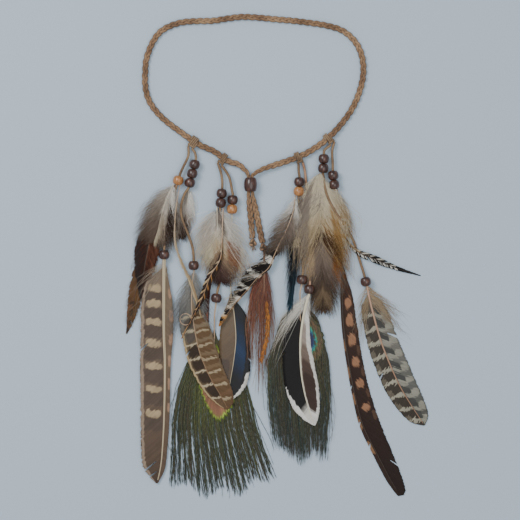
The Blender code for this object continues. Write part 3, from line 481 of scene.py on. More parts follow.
# The hanging laces and their beads
# Suede laces are tied on to the band in pairs at four places. Each carries wood beads, with a dark one above
# or below a feather, and its end is knotted inside the last bead. A lace is the side of its knot, the point where
# its beads begin, how many there are, whether one more hangs at its end, and its route from the knot.
LACE = 2.5
LACE_STEP = 1.2
LACE_FLATNESS = 0.8
BEAD_RADIUS = 5.0
BEAD_LENGTH = 8.6
BEAD_PITCH = BEAD_LENGTH + GAP
BEAD_HOLE = LACE / 2 + 0.45
QUILL_INSERT = 2.0
KNOT_HEIGHT = BRAID_THICK + 2 * (GAP + KNOT_WALL)
LACE_SPREAD = (LACE / 2 + GAP) * 1.4
LACES = {
    "a1": (-1, 2, 1, True, [
        (-5.5, -13.5, 4.6), (-10.5, -24.5, 5.0), (-15.0, -36.5, 5.0), (-17.6, -45.0, 4.0), (-19.8, -54.0, 1.5),
        (-25.5, -76.0, 1.5), (-27.3, -89.0, 1.6), (-27.9, -97.0, 3.4), (-28.0, -101.0, 5.0), (-28.0, -106.5, 5.0)]),
    "a2": (1, 1, 3, True, [
        (1.0, -11.0, 4.6), (0.5, -21.5, 5.0), (-1.0, -30.5, 5.0), (-4.0, -39.0, 5.0), (-9.0, -49.5, 5.2),
        (-12.0, -60.0, 5.4), (-11.5, -71.5, 5.2), (-6.0, -86.0, 5.0), (-1.5, -99.5, 5.0), (-0.4, -110.0, 5.0),
        (-0.5, -116.5, 5.0)]),
    "b1": (-1, 1, 2, True, [
        (-2.0, -16.5, 4.8), (-2.0, -33.0, 5.0), (-3.0, -42.5, 5.0), (-3.2, -49.5, 3.7), (-2.6, -54.0, 1.7),
        (0.4, -76.0, 1.5), (-0.5, -99.5, 1.5), (-3.9, -117.0, 1.5), (-5.3, -122.0, 3.4), (-6.0, -125.0, 4.9),
        (-6.9, -131.5, 5.0)]),
    "b2": (1, 2, 2, False, [
        (5.0, -17.5, 4.8), (8.0, -31.5, 5.0), (8.4, -39.0, 5.0), (7.9, -49.5, 5.0)]),
    "c1": (-1, 1, 2, True, [
        (0.5, -13.5, 4.8), (1.0, -23.5, 5.0), (0.5, -32.5, 5.0), (0.5, -40.5, 3.8), (0.9, -46.5, 1.7),
        (2.5, -68.5, 1.5), (4.0, -88.0, 1.5), (4.6, -98.5, 1.8), (4.6, -106.0, 4.0), (4.4, -109.0, 5.0),
        (3.7, -115.5, 5.0)]),
    "c2": (1, 7, 1, False, [
        (6.4, -13.5, 2.2), (7.4, -23.0, 1.5), (8.4, -33.5, 1.5), (10.5, -57.0, 1.5), (12.0, -81.5, 1.5),
        (11.8, -102.0, 1.5), (11.4, -114.0, 3.2), (10.5, -124.5, 5.0), (10.0, -129.5, 5.0)]),
    "d1": (-1, 1, 2, True, [
        (-3.0, -11.0, 4.6), (-4.0, -19.5, 5.0), (-4.5, -28.5, 5.0), (-4.0, -38.0, 6.0), (-2.0, -50.5, 7.1),
        (3.5, -63.5, 7.2), (12.5, -78.0, 6.2), (19.0, -87.5, 3.0), (24.0, -96.5, 1.5), (28.0, -108.5, 1.5),
        (31.2, -119.0, 2.4), (33.4, -126.0, 4.6), (34.2, -129.0, 5.0), (35.5, -135.0, 5.0)]),
    "d2": (1, 2, 2, False, [
        (4.0, -12.5, 4.6), (4.5, -24.0, 5.0), (5.0, -35.0, 5.0), (6.0, -45.0, 5.0)]),
}
LIGHT_BEADS = ("bead_a1_1", "bead_b2_2", "bead_c1_2")
lace_suede = lace_finish("tan_suede_lace", "#B0906E", "#907253", "#624A35", 0.8)
pink_suede = lace_finish("rosy_suede_lace", "#D9AD8E", "#BD8D6C", "#8A6046", 0.8)
stack_ends = {}

for lace_name, (lace_side, first, count, lower, table) in LACES.items():
    spot, tangent, _ = knot_spots[lace_name[0]]
    along = tangent if tangent.x > 0 else -tangent
    outward = along.cross(UP)
    outward = outward if outward.y < 0 else -outward
    reach = BRAID_WIDTH / 2 + GAP + KNOT_WALL + GAP + LACE / 2
    start = spot + outward * reach + along * lace_side * LACE_SPREAD + UP * KNOT_HEIGHT / 2
    points = [start, *(spot + Vector(row) for row in table)]
    stack_at = first + 1
    run = points[min(stack_at + max(count - 1, 1), len(points) - 1)] - points[stack_at]
    run = Vector((run.x, run.y, 0.0)).normalized()
    stack_in = points[stack_at] - run * (BEAD_LENGTH / 2)
    stack_out = points[stack_at] + run * ((count - 1) * BEAD_PITCH + BEAD_LENGTH / 2)
    dense = smooth_points([*points[:stack_at], stack_in], arrive=run)
    first_at = Route(dense).length + BEAD_LENGTH / 2
    if lower:
        final = points[-1] - points[-2]
        final = Vector((final.x, final.y, 0.0)).normalized()
        lower_in = points[-1] - final * (BEAD_LENGTH / 2)
        dense += smooth_points([stack_out, *points[stack_at + count:-2], lower_in], leave=run, arrive=final)
        dense.append(points[-1] + final * (BEAD_LENGTH / 2))
    else:
        dense.append(stack_out)
    lace_route = Route(dense)
    centres = [(f"bead_{lace_name}_{i + 1}", first_at + i * BEAD_PITCH) for i in range(count)]
    stacks = {lace_name: centres[-1][1]}
    if lower:
        stacks[f"{lace_name}_lower"] = lace_route.length - BEAD_LENGTH / 2
        centres.append((f"bead_{lace_name}_lower", lace_route.length - BEAD_LENGTH / 2))
    for bead, distance in centres:
        direction = lace_route.tangent(distance, BEAD_LENGTH * 0.3)
        direction = Vector((direction.x, direction.y, 0.0)).normalized()
        centre = lace_route.point(distance)
        centre.z = BEAD_RADIUS
        pale = bead in LIGHT_BEADS
        turned_bead(bead.replace("bead", "wood_bead"), bead, centre, direction, length=BEAD_LENGTH,
                                 radius=BEAD_RADIUS, hole=BEAD_HOLE, roundness=2.15,
                                 finish=light_wood if pale else dark_wood)
        for stack, at in stacks.items():
            if at == distance:
                stack_ends[stack] = (centre + direction * (BEAD_LENGTH / 2), direction)
    length = centres[-1][1]
    lace_bm = begin()
    stops = even_steps(length, round(length / LACE_STEP))
    sweep(lace_bm, lace_route, stops, lambda share: (LACE / 2, LACE / 2 * LACE_FLATNESS), around=10)
    finish = pink_suede if lace_name == "c2" else lace_suede
    lace_piece = hand_over(f"suede_lace_{lace_name}", lace_bm, [f"cord_{lace_name}"], [finish])
    path = [list(place(lace_route.point(stop))) for stop in stops]

# The lark's-head knots on the band
# Each pair of laces is one lace doubled round the band, in three tight turns with a bar across the front.
KNOT_EASE = 1.035
TURN_STEPS = 24

for knot_name, (spot, tangent, size) in knot_spots.items():
    across = tangent.cross(UP).normalized()
    wide = BRAID_WIDTH * KNOT_EASE / 2 + GAP + KNOT_WALL / 2
    high = BRAID_THICK / 2 + GAP + KNOT_WALL / 2
    coil = []
    turns = 3 if size < 1.2 else 4
    wound = KNOT_LENGTH * size - KNOT_WALL
    for step in range(turns * TURN_STEPS + 1):
        angle = math.tau * step / TURN_STEPS + math.pi / 2
        shift = (step / (turns * TURN_STEPS) - 0.5) * wound
        coil.append(spot + tangent * shift + across * math.cos(angle) * wide
                    + UP * (math.sin(angle) * high + KNOT_HEIGHT / 2))
    knot_bm = begin()
    coil_route = Route(coil)
    sweep(knot_bm, coil_route, even_steps(coil_route.length, turns * 40),
          lambda share: (KNOT_WALL / 2 * 1.1, KNOT_WALL / 2), around=8)
    front = across if across.y < 0 else -across
    bar = []
    for step in range(13):
        share = step / 12 - 0.5
        bar.append(spot + tangent * share * wound * 1.05 + front * (wide + 0.7 - abs(share) * 1.4)
                   + UP * (KNOT_HEIGHT / 2 + 1.1 + 0.8 * math.cos(share * 3)))
    bar_route = Route(bar)
    sweep(knot_bm, bar_route, even_steps(bar_route.length, 16), lambda share: (0.95, 0.9), around=8)
    for side_sign in (-1, 1):
        leg = [spot + tangent * side_sign * LACE_SPREAD * (1 if tangent.x > 0 else -1)
               + front * (wide - 0.6 + 2.6 * t) + UP * (KNOT_HEIGHT / 2 + 0.3 * math.sin(t * 3))
               for t in (0, 0.33, 0.66, 1)]
        leg_route = Route(leg)
        sweep(knot_bm, leg_route, even_steps(leg_route.length, 5), lambda share: (1.2, 0.95), around=8)
    hand_over(f"lace_knot_{knot_name}", knot_bm, [f"knot_{knot_name}"], [lace_suede])

# The flat vaned feathers
# Wing and tail feathers: a tapered ivory shaft with barbs hooked together into a flat vane on each side. The
# bare quill goes up into the last bead, or lies against the bead's end, and is glued there.
QUILL_RADIUS = 0.8
BARB_MM = 1.15
WANDER_MM = 6.0
VANE_THICK = 0.28
SPLIT_REACH = 9
SPLIT_LIFT = 0.25
MARKS_PER_RAMP = 7
HAIR_WELD = 0.0000008
HAIR_SIDES = 3
FEATHER_LAYER = 1.7
tail_direction = (tail_end("right") - tail_end("right") * 0.9).normalized()
stack_ends["right_tail"] = (tail_end("right") + tail_direction * (TAIL_KNOT + GAP), tail_direction)


def refine(rows, height, spans):
    """Rows of a table, with the seat's height filled in, read off smooth curves between them."""
    filled = [(u, left, right, bend, height if lift is None else lift * FEATHER_LAYER)
              for u, left, right, bend, lift in rows]
    fine = []
    for index, (a, b) in enumerate(zip(filled, filled[1:])):
        before = filled[max(index - 1, 0)]
        after = filled[min(index + 2, len(filled) - 1)]
        for i in range(spans):
            t = i / spans
            row = [a[0] + (b[0] - a[0]) * t]
            for k in range(1, 4):
                slope_a = (b[k] - before[k]) / max(b[0] - before[0], 1e-6) * (b[0] - a[0])
                slope_b = (after[k] - a[k]) / max(after[0] - a[0], 1e-6) * (b[0] - a[0])
                row.append(a[k] * (1 + 2 * t) * (1 - t) ** 2 + slope_a * t * (1 - t) ** 2
                           + b[k] * t * t * (3 - 2 * t) + slope_b * t * t * (t - 1))
            row.append(a[4] + (b[4] - a[4]) * soft_step(t))
            fine.append(row)
    return [*fine, list(filled[-1])]


class Lay:
    """Where one feather lies: its seat, its directions and its outline."""

    def __init__(self, holder, seat, height, heading, length, width, rows):
        angle = math.radians(heading)
        self.down = Vector((math.sin(angle), -math.cos(angle), 0.0))
        self.right = Vector((math.cos(angle), math.sin(angle), 0.0))
        point, direction = stack_ends[holder]
        across = Vector((-direction.y, direction.x, 0.0))
        inserted = seat == 0.0 and height > BEAD_HOLE and not holder.endswith("_tail")
        self.base = point + direction * (-QUILL_INSERT if inserted else GAP) + across * seat
        self.base.z = 0.0
        if inserted:
            rows = [rows[0], ((QUILL_INSERT + GAP) / length, *rows[0][1:]), *rows[1:]]
        self.length, self.width = length, width
        self.fine = refine(rows, height, 10)

    def read(self, share):
        """Left and right reach in millimetres, bend in millimetres and height at a share of the length."""
        share = min(max(share, 0.0), 1.0)
        low, high = 0, len(self.fine) - 1
        while high - low > 1:
            middle = (low + high) // 2
            if self.fine[middle][0] <= share:
                low = middle
            else:
                high = middle
        a, b = self.fine[low], self.fine[high]
        t = (share - a[0]) / max(b[0] - a[0], 1e-9)
        left, right, bend, lift = (x + (y - x) * t for x, y in zip(a[1:], b[1:]))
        return max(left, 0.0) * self.width, max(right, 0.0) * self.width, bend * self.length, lift

    def spine(self, share):
        _, _, bend, lift = self.read(share)
        return self.base + self.down * (share * self.length) + self.right * bend + UP * lift

    def reach(self, root, side, sweep_cot):
        """How far across the barb that starts at root goes before it meets the outline."""
        pick = 0 if side < 0 else 1
        wide = self.read(root)[pick]
        for _ in range(5):
            limit = (1.0 - root) * self.length / max(sweep_cot, 0.01)
            wide = 0.5 * wide + 0.5 * min(self.read(root + sweep_cot * wide / self.length)[pick], limit)
        return wide


def lay_vane(bm, lay, bare, sweep_cot, ragged, seed, splits=(), end=1.0, cells=6, camber=0.25, crown=0.5):
    """The barbed vane of one feather, split where its barbs have parted, with a thickness of its own."""
    rng = random.Random(seed)
    count = max(int((end - bare) * lay.length / BARB_MM), 8)
    trims = [1.0 - ragged * rng.random() ** 2 for _ in range(2 * count + 2)]
    cuts = []
    for share, side, depth, opening in splits:
        cuts.append((int((share - bare) / (end - bare) * count), side, depth, opening))

    def barb(i, j):
        root = bare + (end - bare) * i / count
        across = (j - cells) / cells
        side, t = (-1 if across < 0 else 1), abs(across)
        wide = lay.reach(root, side, sweep_cot) * trims[2 * i + (side > 0)]
        forward = sweep_cot * wide * t ** 0.92
        lift_mm = 0.0
        for at, cut_side, depth, opening in cuts:
            if cut_side == side and t > depth and abs(i - at) < SPLIT_REACH:
                away = (t - depth) / (1 - depth) * (1 - abs(i - at - 0.5) / SPLIT_REACH)
                forward += opening * away * (1 if i > at else -1) * 0.5
                lift_mm += SPLIT_LIFT * away * (1 if i > at else -0.4)
        share = root + forward / lay.length
        _, _, bend, lift = lay.read(min(share, 1.0))
        point = lay.base + lay.down * (share * lay.length) + lay.right * (bend + side * wide * t)
        point.z = lift + crown + camber * (1 - t * t) + lift_mm * 0.4
        return point

    def kept(i, j):
        side, t = (-1 if j < cells else 1), abs(j + 0.5 - cells) / cells
        return not any(i == at and cut_side == side and t > depth for at, cut_side, depth, _ in cuts)

    def along_and_across(i, j):
        root = bare + (end - bare) * i / count
        across = (j - cells) / cells
        side = -1 if across < 0 else 1
        wide = lay.reach(root, side, sweep_cot)
        return root + sweep_cot * wide * abs(across) / lay.length, 0.5 + across / 2

    verts = bent_grid(bm, count, 2 * cells, barb, along_and_across,
                      lambda i, j: (bare + (end - bare) * i / count, abs(j - cells) / cells), kept)
    faces = list({face for vert in verts for face in vert.link_faces})
    bmesh.ops.recalc_face_normals(bm, faces=faces)
    bmesh.ops.solidify(bm, geom=faces, thickness=VANE_THICK * MM)


def lay_shaft(bm, lay, radius, tip_radius, crown=0.75, stop=0.985, material=1):
    """The feather's shaft, round at the quill and fine at the tip."""
    shaft = Route([lay.spine(share) + UP * crown for share in even_steps(stop, 60)])

    def section(share):
        thick = radius * (1 - share) + tip_radius * share
        return thick, thick * 0.9

    sweep(bm, shaft, even_steps(shaft.length, 90), section, around=8, material=material)


def bumps(tree, coordinate, marks, soft):
    """A mask that is 1 on each (centre, half) mark and 0 between them. A ramp holds only so many marks."""
    off, on = (0, 0, 0, 1), (1, 1, 1, 1)
    mask = None
    for first in range(0, len(marks), MARKS_PER_RAMP):
        stops = [(0.0, off)]
        for centre, half in marks[first:first + MARKS_PER_RAMP]:
            stops += [(max(centre - half - soft, 0.0), off), (max(centre - half, 0.0), on),
                      (min(centre + half, 1.0), on), (min(centre + half + soft, 1.0), off)]
        ramp = ramp_stops(add(tree, "ShaderNodeValToRGB", links={"Fac": coordinate}), stops).outputs["Color"]
        mask = ramp if mask is None else reckon(tree, "MAXIMUM", mask, ramp)
    return mask


def vane_finish(name, length, left, right, marks=(), roughness=0.6, sheen=0.08, mottle=0.35, jitter_mm=1.2, coat=0.0):
    """Feather keratin: fine barbs side by side give a silky, slightly oily surface with dark pigment in bars.

    left and right are colours along each vane. A mark is (colour, 'root' or 'along', spots, across, soft), and can
    end with how soft its sides are."""
    material, tree, shader = new_finish(name, Roughness=roughness, Sheen_Weight=sheen, Specular_IOR_Level=0.22,
                                        Coat_Weight=coat, Coat_Roughness=0.25)
    surface, detail = read_uv(tree, "surface"), read_uv(tree, "detail")
    barbs = reckon(tree, "MULTIPLY", detail[0], length / BARB_MM)
    chance = chance_of(tree, reckon(tree, "FLOOR", barbs))
    patch = patches(tree, 7.0, Detail=4.0, Roughness=0.6)
    drift = reckon(tree, "MULTIPLY_ADD", chance, jitter_mm / length, -jitter_mm / 2 / length)
    wander = reckon(tree, "MULTIPLY_ADD", patch, WANDER_MM / length, -WANDER_MM / 2 / length)
    shift = reckon(tree, "ADD", drift, wander)
    reading = {"along": reckon(tree, "ADD", surface[0], shift), "root": reckon(tree, "ADD", detail[0], shift)}
    which = reckon(tree, "GREATER_THAN", surface[1], 0.5)
    colour = blend(tree, which, tone_ramp(tree, reading["root"], left), tone_ramp(tree, reading["root"], right))
    across = reckon(tree, "ADD", surface[1], reckon(tree, "MULTIPLY_ADD", patch, 0.1, -0.05))
    for code, key, spots, (low, high), soft, *side_soft in marks:
        on_length = bumps(tree, reading[key], spots, soft)
        on_width = bumps(tree, across, [((low + high) / 2, (high - low) / 2)], *(side_soft or [0.06]))
        both = reckon(tree, "MULTIPLY", on_length, on_width)
        rounded = add(tree, "ShaderNodeMapRange", {1: 0.22, 2: 0.6}, {0: both}, interpolation_type="SMOOTHSTEP")
        colour = blend(tree, rounded.outputs[0], colour, paint(code))
    groove = reckon(tree, "SINE", reckon(tree, "MULTIPLY", barbs, math.tau))
    shade = reckon(tree, "MULTIPLY_ADD", groove, 0.10, 0.92)
    tint = reckon(tree, "MULTIPLY_ADD", patch, mottle, 1.0 - mottle / 2)
    each_tint = reckon(tree, "MULTIPLY_ADD", chance, 0.22, 0.89)
    light = reckon(tree, "MULTIPLY", reckon(tree, "MULTIPLY", shade, tint), each_tint)
    tree.links.new(lit(tree, colour, light), shader.inputs["Base Color"])
    bump = add(tree, "ShaderNodeBump", {"Strength": 0.5, "Distance": 0.00025}, {"Height": groove})
    tree.links.new(bump.outputs[0], shader.inputs["Normal"])
    return material


def shaft_finish(name, base, tip):
    """Horn of the shaft: smooth and waxy, paler at the quill."""
    material, tree, shader = new_finish(name, Roughness=0.38, Specular_IOR_Level=0.5)
    tone = tone_ramp(tree, read_uv(tree, "surface")[0], [(0.1, base), (1.0, tip)])
    tree.links.new(tone, shader.inputs["Base Color"])
    return material


def grooved_finish(name, pale, groove):
    """Thick quill of a wing feather: two pale ridges beside a shallow tan groove."""
    material, tree, shader = new_finish(name, Roughness=0.4, Specular_IOR_Level=0.4)
    tone = tone_ramp(tree, read_uv(tree, "surface")[1], [
        (0.0, groove), (0.12, pale), (0.20, pale), (0.24, groove), (0.27, groove), (0.31, pale), (0.40, pale),
        (0.5, groove)])
    tree.links.new(tone, shader.inputs["Base Color"])
    return material


def every(first, step, count, half):
    """Marks at even steps along a feather."""
    return [(first + step * i, half) for i in range(count)]


ivory_shaft = shaft_finish("ivory_shaft", "#E9DEC6", "#CDBB9A")
tan_shaft = shaft_finish("tan_shaft", "#C9A98A", "#9C7856")
dark_shaft = shaft_finish("dark_shaft", "#8B6B52", "#3A2A20")


def feather(name, lay, finish, shaft, bare, sweep_cot=1.0, ragged=0.05, splits=(), seed=1,
            shaft_mm=QUILL_RADIUS, tip_mm=0.16, cells=6, extra=None, more=()):
    """One vaned feather: vane and shaft in one piece."""
    bm = begin()
    lay_vane(bm, lay, bare=bare, sweep_cot=sweep_cot, ragged=ragged, splits=splits, seed=seed, cells=cells)
    lay_shaft(bm, lay, shaft_mm, tip_mm)
    if extra is not None:
        extra(bm)
    hand_over(name.replace("_feather", "_vane").replace("_hackle", "_hackle_vane"), bm, [name],
              [finish, shaft, *more])


def hairs(bm, strands, flat=1.0, comb=1.0, material=0, taper=0.75):
    """Fine closed three-sided hairs. A strand is (points, radius, root share, across shares, chance)."""
    segments = len(strands[0][0]) - 1
    rows = HAIR_SIDES + 1

    def ring(i, j):
        points, radius, _, _, _ = strands[j // rows]
        ahead, behind = points[min(i + 1, segments)], points[max(i - 1, 0)]
        side = (ahead - behind).cross(UP).normalized()
        if i in (0, segments):
            return points[i]
        thin = radius * (1.0 - taper * (i / segments) ** 2) * (comb if (i + j // rows) % 2 else 1.0)
        angle = math.tau * (j % rows) / HAIR_SIDES + 0.5
        return points[i] + side * (math.cos(angle) * thin) + UP * (math.sin(angle) * thin * flat)

    verts = bent_grid(bm, segments, rows * len(strands) - 1, ring,
                      lambda i, j: (strands[j // rows][2], strands[j // rows][3][i]),
                      lambda i, j: (i / segments, strands[j // rows][4]), lambda i, j: j % rows != HAIR_SIDES,
                      material)
    bmesh.ops.remove_doubles(bm, verts=verts, dist=HAIR_WELD)


def loose_barbs(lay, count, seed, first, last, sweep_cot, thick, spread=1.0, radius=0.13, segments=6, curl=0.3,
                tier=0.0, sides=(-1, 1), floor=0.5, lengths=(0.5, 1.3)):
    """Strands that leave the shaft on both sides and curve towards the tip, each with its own length and curl."""
    rng = random.Random(seed)
    strands = []
    for _ in range(count):
        root = first + (last - first) * rng.random() ** 0.9
        side = rng.choice(sides)
        size = lengths[0] + (lengths[1] - lengths[0]) * rng.random()
        wide = max(lay.reach(root, side, sweep_cot) * size * spread, 0.6)
        forward = sweep_cot * wide * (0.45 + 0.95 * rng.random()) + 1.0
        forward = min(forward, (1.03 - root) * lay.length + 2.0)
        bow, whip = rng.gauss(0.0, curl), rng.gauss(0.0, curl)
        height, share_high = rng.random(), 1.0 - tier * root
        points, across = [], []
        for i in range(segments + 1):
            t = i / segments
            share = min(root + forward * t ** 1.15 / lay.length, 1.06)
            left, right, bend, lift = lay.read(share)
            v = side * wide * (t ** 0.85 + bow * 0.5 * math.sin(math.pi * t)) + wide * whip * 0.35 * t * t
            point = lay.base + lay.down * (share * lay.length) + lay.right * (bend + v)
            arch = math.sin(math.pi * (0.15 + 0.75 * t))
            point.z = lift + floor + thick * share_high * (0.25 + 0.75 * height) * arch
            points.append(point)
            across.append(min(max(0.5 + 0.5 * v / max(left if v < 0 else right, 1.0), 0.0), 1.0))
        strands.append((points, radius * (0.7 + 0.6 * rng.random()), root, across, rng.random()))
    return strands


def down_finish(name, roots, tips, marks=(), roughness=0.85, sheen=0.15, scatter=0.6):
    """Down: matt, pale at the shaft, with a soft sheen where the light grazes the loose barbs."""
    material, tree, shader = new_finish(name, Roughness=roughness, Sheen_Weight=sheen, Sheen_Roughness=0.4,
                                        Specular_IOR_Level=0.15)
    surface, detail = read_uv(tree, "surface"), read_uv(tree, "detail")
    drift = reckon(tree, "MULTIPLY_ADD", patches(tree, 9.0, Detail=3.0), 0.10, -0.05)
    root, across = reckon(tree, "ADD", surface[0], drift), reckon(tree, "ADD", surface[1], drift)
    colour = blend(tree, detail[0], tone_ramp(tree, root, roots), tone_ramp(tree, root, tips))
    for code, spots, (low, high), soft in marks:
        on_length = bumps(tree, root, spots, soft)
        on_width = bumps(tree, across, [((low + high) / 2, (high - low) / 2)], 0.08)
        colour = blend(tree, reckon(tree, "MULTIPLY", on_length, on_width), colour, paint(code))
    light = reckon(tree, "MULTIPLY_ADD", detail[1], scatter, 1.0 - scatter * 0.45)
    tree.links.new(lit(tree, colour, light), shader.inputs["Base Color"])
    return material


# Long grey-brown wing feather with beige blotches down its wide left vane.
long_barred = Lay("a1_lower", seat=0.0, height=4.3, heading=-1.9, length=213.0, width=31.0, rows=[
    (0.0, 0.03, 0.03, 0.0, None), (0.03, 0.14, 0.06, 0.0, 2.2), (0.08, 0.50, 0.12, 0.001, 2.0),
    (0.22, 0.71, 0.29, 0.005, 1.9), (0.35, 0.72, 0.28, 0.010, 1.6), (0.47, 0.77, 0.18, 0.018, 1.1),
    (0.72, 0.72, 0.17, 0.022, 1.0), (0.88, 0.63, 0.15, 0.018, 1.0), (0.94, 0.50, 0.14, 0.012, 1.0),
    (1.0, 0.03, 0.03, 0.0, 1.0)])
blotches = [0.136, 0.203, 0.284, 0.38, 0.481, 0.581, 0.69]
feather("long_barred_feather", long_barred, vane_finish(
    "grey_brown_wing_vane", 207.0, [(0.0, "#857462"), (0.3, "#736252"), (0.7, "#685546"), (0.9, "#5E4C3E"),
                                    (1.0, "#483A30")],
    [(0.0, "#87745F"), (0.5, "#76624F"), (1.0, "#624F41")],
    [("#5E4F44", "along", [(at + 0.045, 0.018) for at in blotches], (0.06, 0.45), 0.02),
     ("#BDA480", "along", [(at, 0.005) for at in blotches], (0.17, 0.38), 0.017, 0.10),
     ("#AE8A70", "along", every(0.16, 0.1, 6, 0.008), (0.84, 1.0), 0.022, 0.12),
     ("#A58F7B", "root", [(0.5, 0.5)], (0.0, 0.03), 0.01)], jitter_mm=1.6),
    grooved_finish("grooved_pale_quill", "#DCC9A6", "#8F765B"), bare=0.035, sweep_cot=1.0, ragged=0.06,
    splits=[(0.31, -1, 0.6, 0.8), (0.88, -1, 0.35, 1.6), (0.93, -1, 0.4, 1.2)], seed=3, shaft_mm=1.75, tip_mm=0.45,
    extra=lambda bm: hairs(bm, loose_barbs(long_barred, count=60, seed=301, first=0.01, last=0.07, sweep_cot=1.1,
                                           thick=1.0, spread=1.6, radius=0.12), material=2),
    more=(down_finish("grey_base_down", [(0.0, "#B9A994"), (1.0, "#A39480")], [(0.0, "#8A7A6A"), (1.0, "#7D6D5D")]),))

# Olive and brown body feather with pale scallops, darker in its left vane.
chevron = Lay("a2_lower", seat=0.0, height=4.3, heading=13.6, length=137.0, width=32.0, rows=[
    (0.0, 0.026, 0.026, 0.0, None), (0.07, 0.14, 0.13, -0.022, 2.1), (0.23, 0.37, 0.28, -0.070, 2.0),
    (0.36, 0.43, 0.42, -0.088, 2.0), (0.48, 0.40, 0.51, -0.096, 2.0), (0.60, 0.42, 0.52, -0.094, 2.0),
    (0.76, 0.40, 0.48, -0.066, 2.0), (0.88, 0.34, 0.40, -0.030, 2.0), (0.96, 0.20, 0.26, -0.008, 2.0),
    (1.0, 0.03, 0.03, 0.0, 2.0)])


def chevron_down_and_ring(bm):
    """Loose blue-grey down at the feather's root, and one barb curled into a pale ring on its left vane."""
    hairs(bm, loose_barbs(chevron, count=420, seed=303, first=0.02, last=0.2, sweep_cot=1.5, thick=1.2, spread=1.5,
                          radius=0.13), material=2)
    middle, radius = chevron.spine(0.33) + chevron.right * -7.0, 5.3
    path = Route([middle + Vector((math.cos(math.tau * k / 40) * radius, math.sin(math.tau * k / 40) * radius, 1.1))
                  for k in range(38)])
    sweep(bm, path, even_steps(path.length, 60), lambda share: (0.42, 0.2), around=6, material=1)


scallops = every(0.315, 0.098, 7, 0.006)
feather("chevron_feather", chevron, vane_finish(
    "olive_scalloped_vane", 133.0, [(0.0, "#8D867A"), (0.3, "#77736A"), (0.45, "#6B5B45"), (0.8, "#5B4733"),
                                    (1.0, "#6B5239")],
    [(0.0, "#8E8374"), (0.3, "#86745C"), (0.6, "#7D664C"), (0.85, "#76583F"), (1.0, "#6E5138")],
    [("#5A5046", "along", [(c + 0.048, 0.014) for c, _ in scallops[:2]], (0.20, 0.42), 0.03, 0.10),
     ("#3A2C20", "along", [(c + 0.048, 0.016) for c, _ in scallops[2:6]], (0.18, 0.44), 0.034, 0.10),
     ("#6A5138", "along", [(c + 0.03, 0.02) for c, _ in scallops], (0.56, 0.92), 0.03),
     ("#BDAB8C", "along", [(c, 0.002) for c, _ in scallops], (0.04, 0.47), 0.009),
     ("#AD997A", "along", [(c + 0.02, 0.001) for c, _ in scallops], (0.53, 0.90), 0.011),
     ("#C2A77C", "root", [(0.66, 0.3)], (0.0, 0.035), 0.02)], jitter_mm=1.4),
    tan_shaft, bare=0.14, sweep_cot=0.8, ragged=0.06, splits=[(0.5, -1, 0.6, 0.8)], seed=5, shaft_mm=0.6, tip_mm=0.15,
    extra=chevron_down_and_ring,
    more=(down_finish("blue_grey_down", [(0.0, "#A39C92"), (0.3, "#8C8880")], [(0.0, "#8C8A86"), (0.2, "#6E7276")]),))

# Black wing feather with a blue gloss: taupe left vane, black right vane with a white band at the tip.
speculum = Lay("b2", seat=0.0, height=1.1, heading=-0.9, length=177.0, width=30.0, rows=[
    (0.0, 0.03, 0.03, 0.0, None), (0.12, 0.03, 0.03, -0.004, 0.1), (0.25, 0.03, 0.03, -0.006, 0.1),
    (0.43, 0.05, 0.05, 0.002, 0.5), (0.52, 0.33, 0.36, 0.018, 1.0), (0.66, 0.53, 0.43, 0.031, 1.0),
    (0.79, 0.44, 0.55, 0.020, 1.0), (0.88, 0.26, 0.57, 0.006, 1.0), (0.95, 0.04, 0.40, -0.002, 1.0),
    (1.0, 0.02, 0.03, 0.0, 1.0)])
feather("speculum_feather", speculum, vane_finish(
    "black_blue_wing_vane", 173.0, [(0.4, "#74614A"), (0.62, "#67533C"), (0.85, "#594530"), (1.0, "#33271D")],
    [(0.42, "#1E1B1A"), (0.52, "#15171C"), (0.6, "#122238"), (0.7, "#143052"), (0.78, "#10203A"), (0.85, "#0E0D0E"),
     (1.0, "#141110")],
    [("#0F0E10", "along", [(0.75, 0.25)], (0.86, 1.0), 0.03),
     ("#4E3E30", "along", [(0.9, 0.1)], (0.0, 0.3), 0.05),
     ("#E6E0D6", "along", [(0.93, 0.07)], (0.92, 1.0), 0.03, 0.04),
     ("#E6E0D6", "along", [(0.985, 0.012)], (0.52, 1.0), 0.008)], roughness=0.34, sheen=0.05, mottle=0.3,
     jitter_mm=0.8, coat=0.3),
    ivory_shaft, bare=0.42, sweep_cot=0.9, ragged=0.05, splits=[(0.7, 1, 0.75, 0.6)], seed=7)

# Brown and white striped neck hackle, lying across its neighbours.
striped = Lay("b1", seat=2.9, height=5.2, heading=-17.7, length=129.0, width=7.0, rows=[
    (0.0, 0.12, 0.12, 0.0, None), (0.08, 0.12, 0.12, 0.022, 3.8), (0.20, 0.12, 0.12, 0.056, 4.0),
    (0.36, 0.25, 0.25, 0.092, 4.0), (0.50, 0.50, 0.50, 0.062, 4.0), (0.66, 0.45, 0.45, 0.055, 4.0),
    (0.80, 0.20, 0.20, 0.035, 4.0), (1.0, 0.08, 0.08, 0.0, 4.0)])
feather("striped_hackle", striped, vane_finish(
    "brown_white_striped_hackle", 129.0, [(0.0, "#DDCDB2"), (0.6, "#C9A77A"), (1.0, "#B08552")],
    [(0.0, "#5E4330"), (0.5, "#A9763F"), (1.0, "#7A4E2A")],
    [("#33231A", "root", every(0.26, 0.075, 9, 0.022), (0.0, 0.5), 0.012),
     ("#2C1D15", "root", every(0.30, 0.075, 9, 0.024), (0.5, 1.0), 0.012)]),
    tan_shaft, bare=0.2, sweep_cot=1.8, ragged=0.25, seed=11, shaft_mm=0.55, tip_mm=0.12, cells=3)

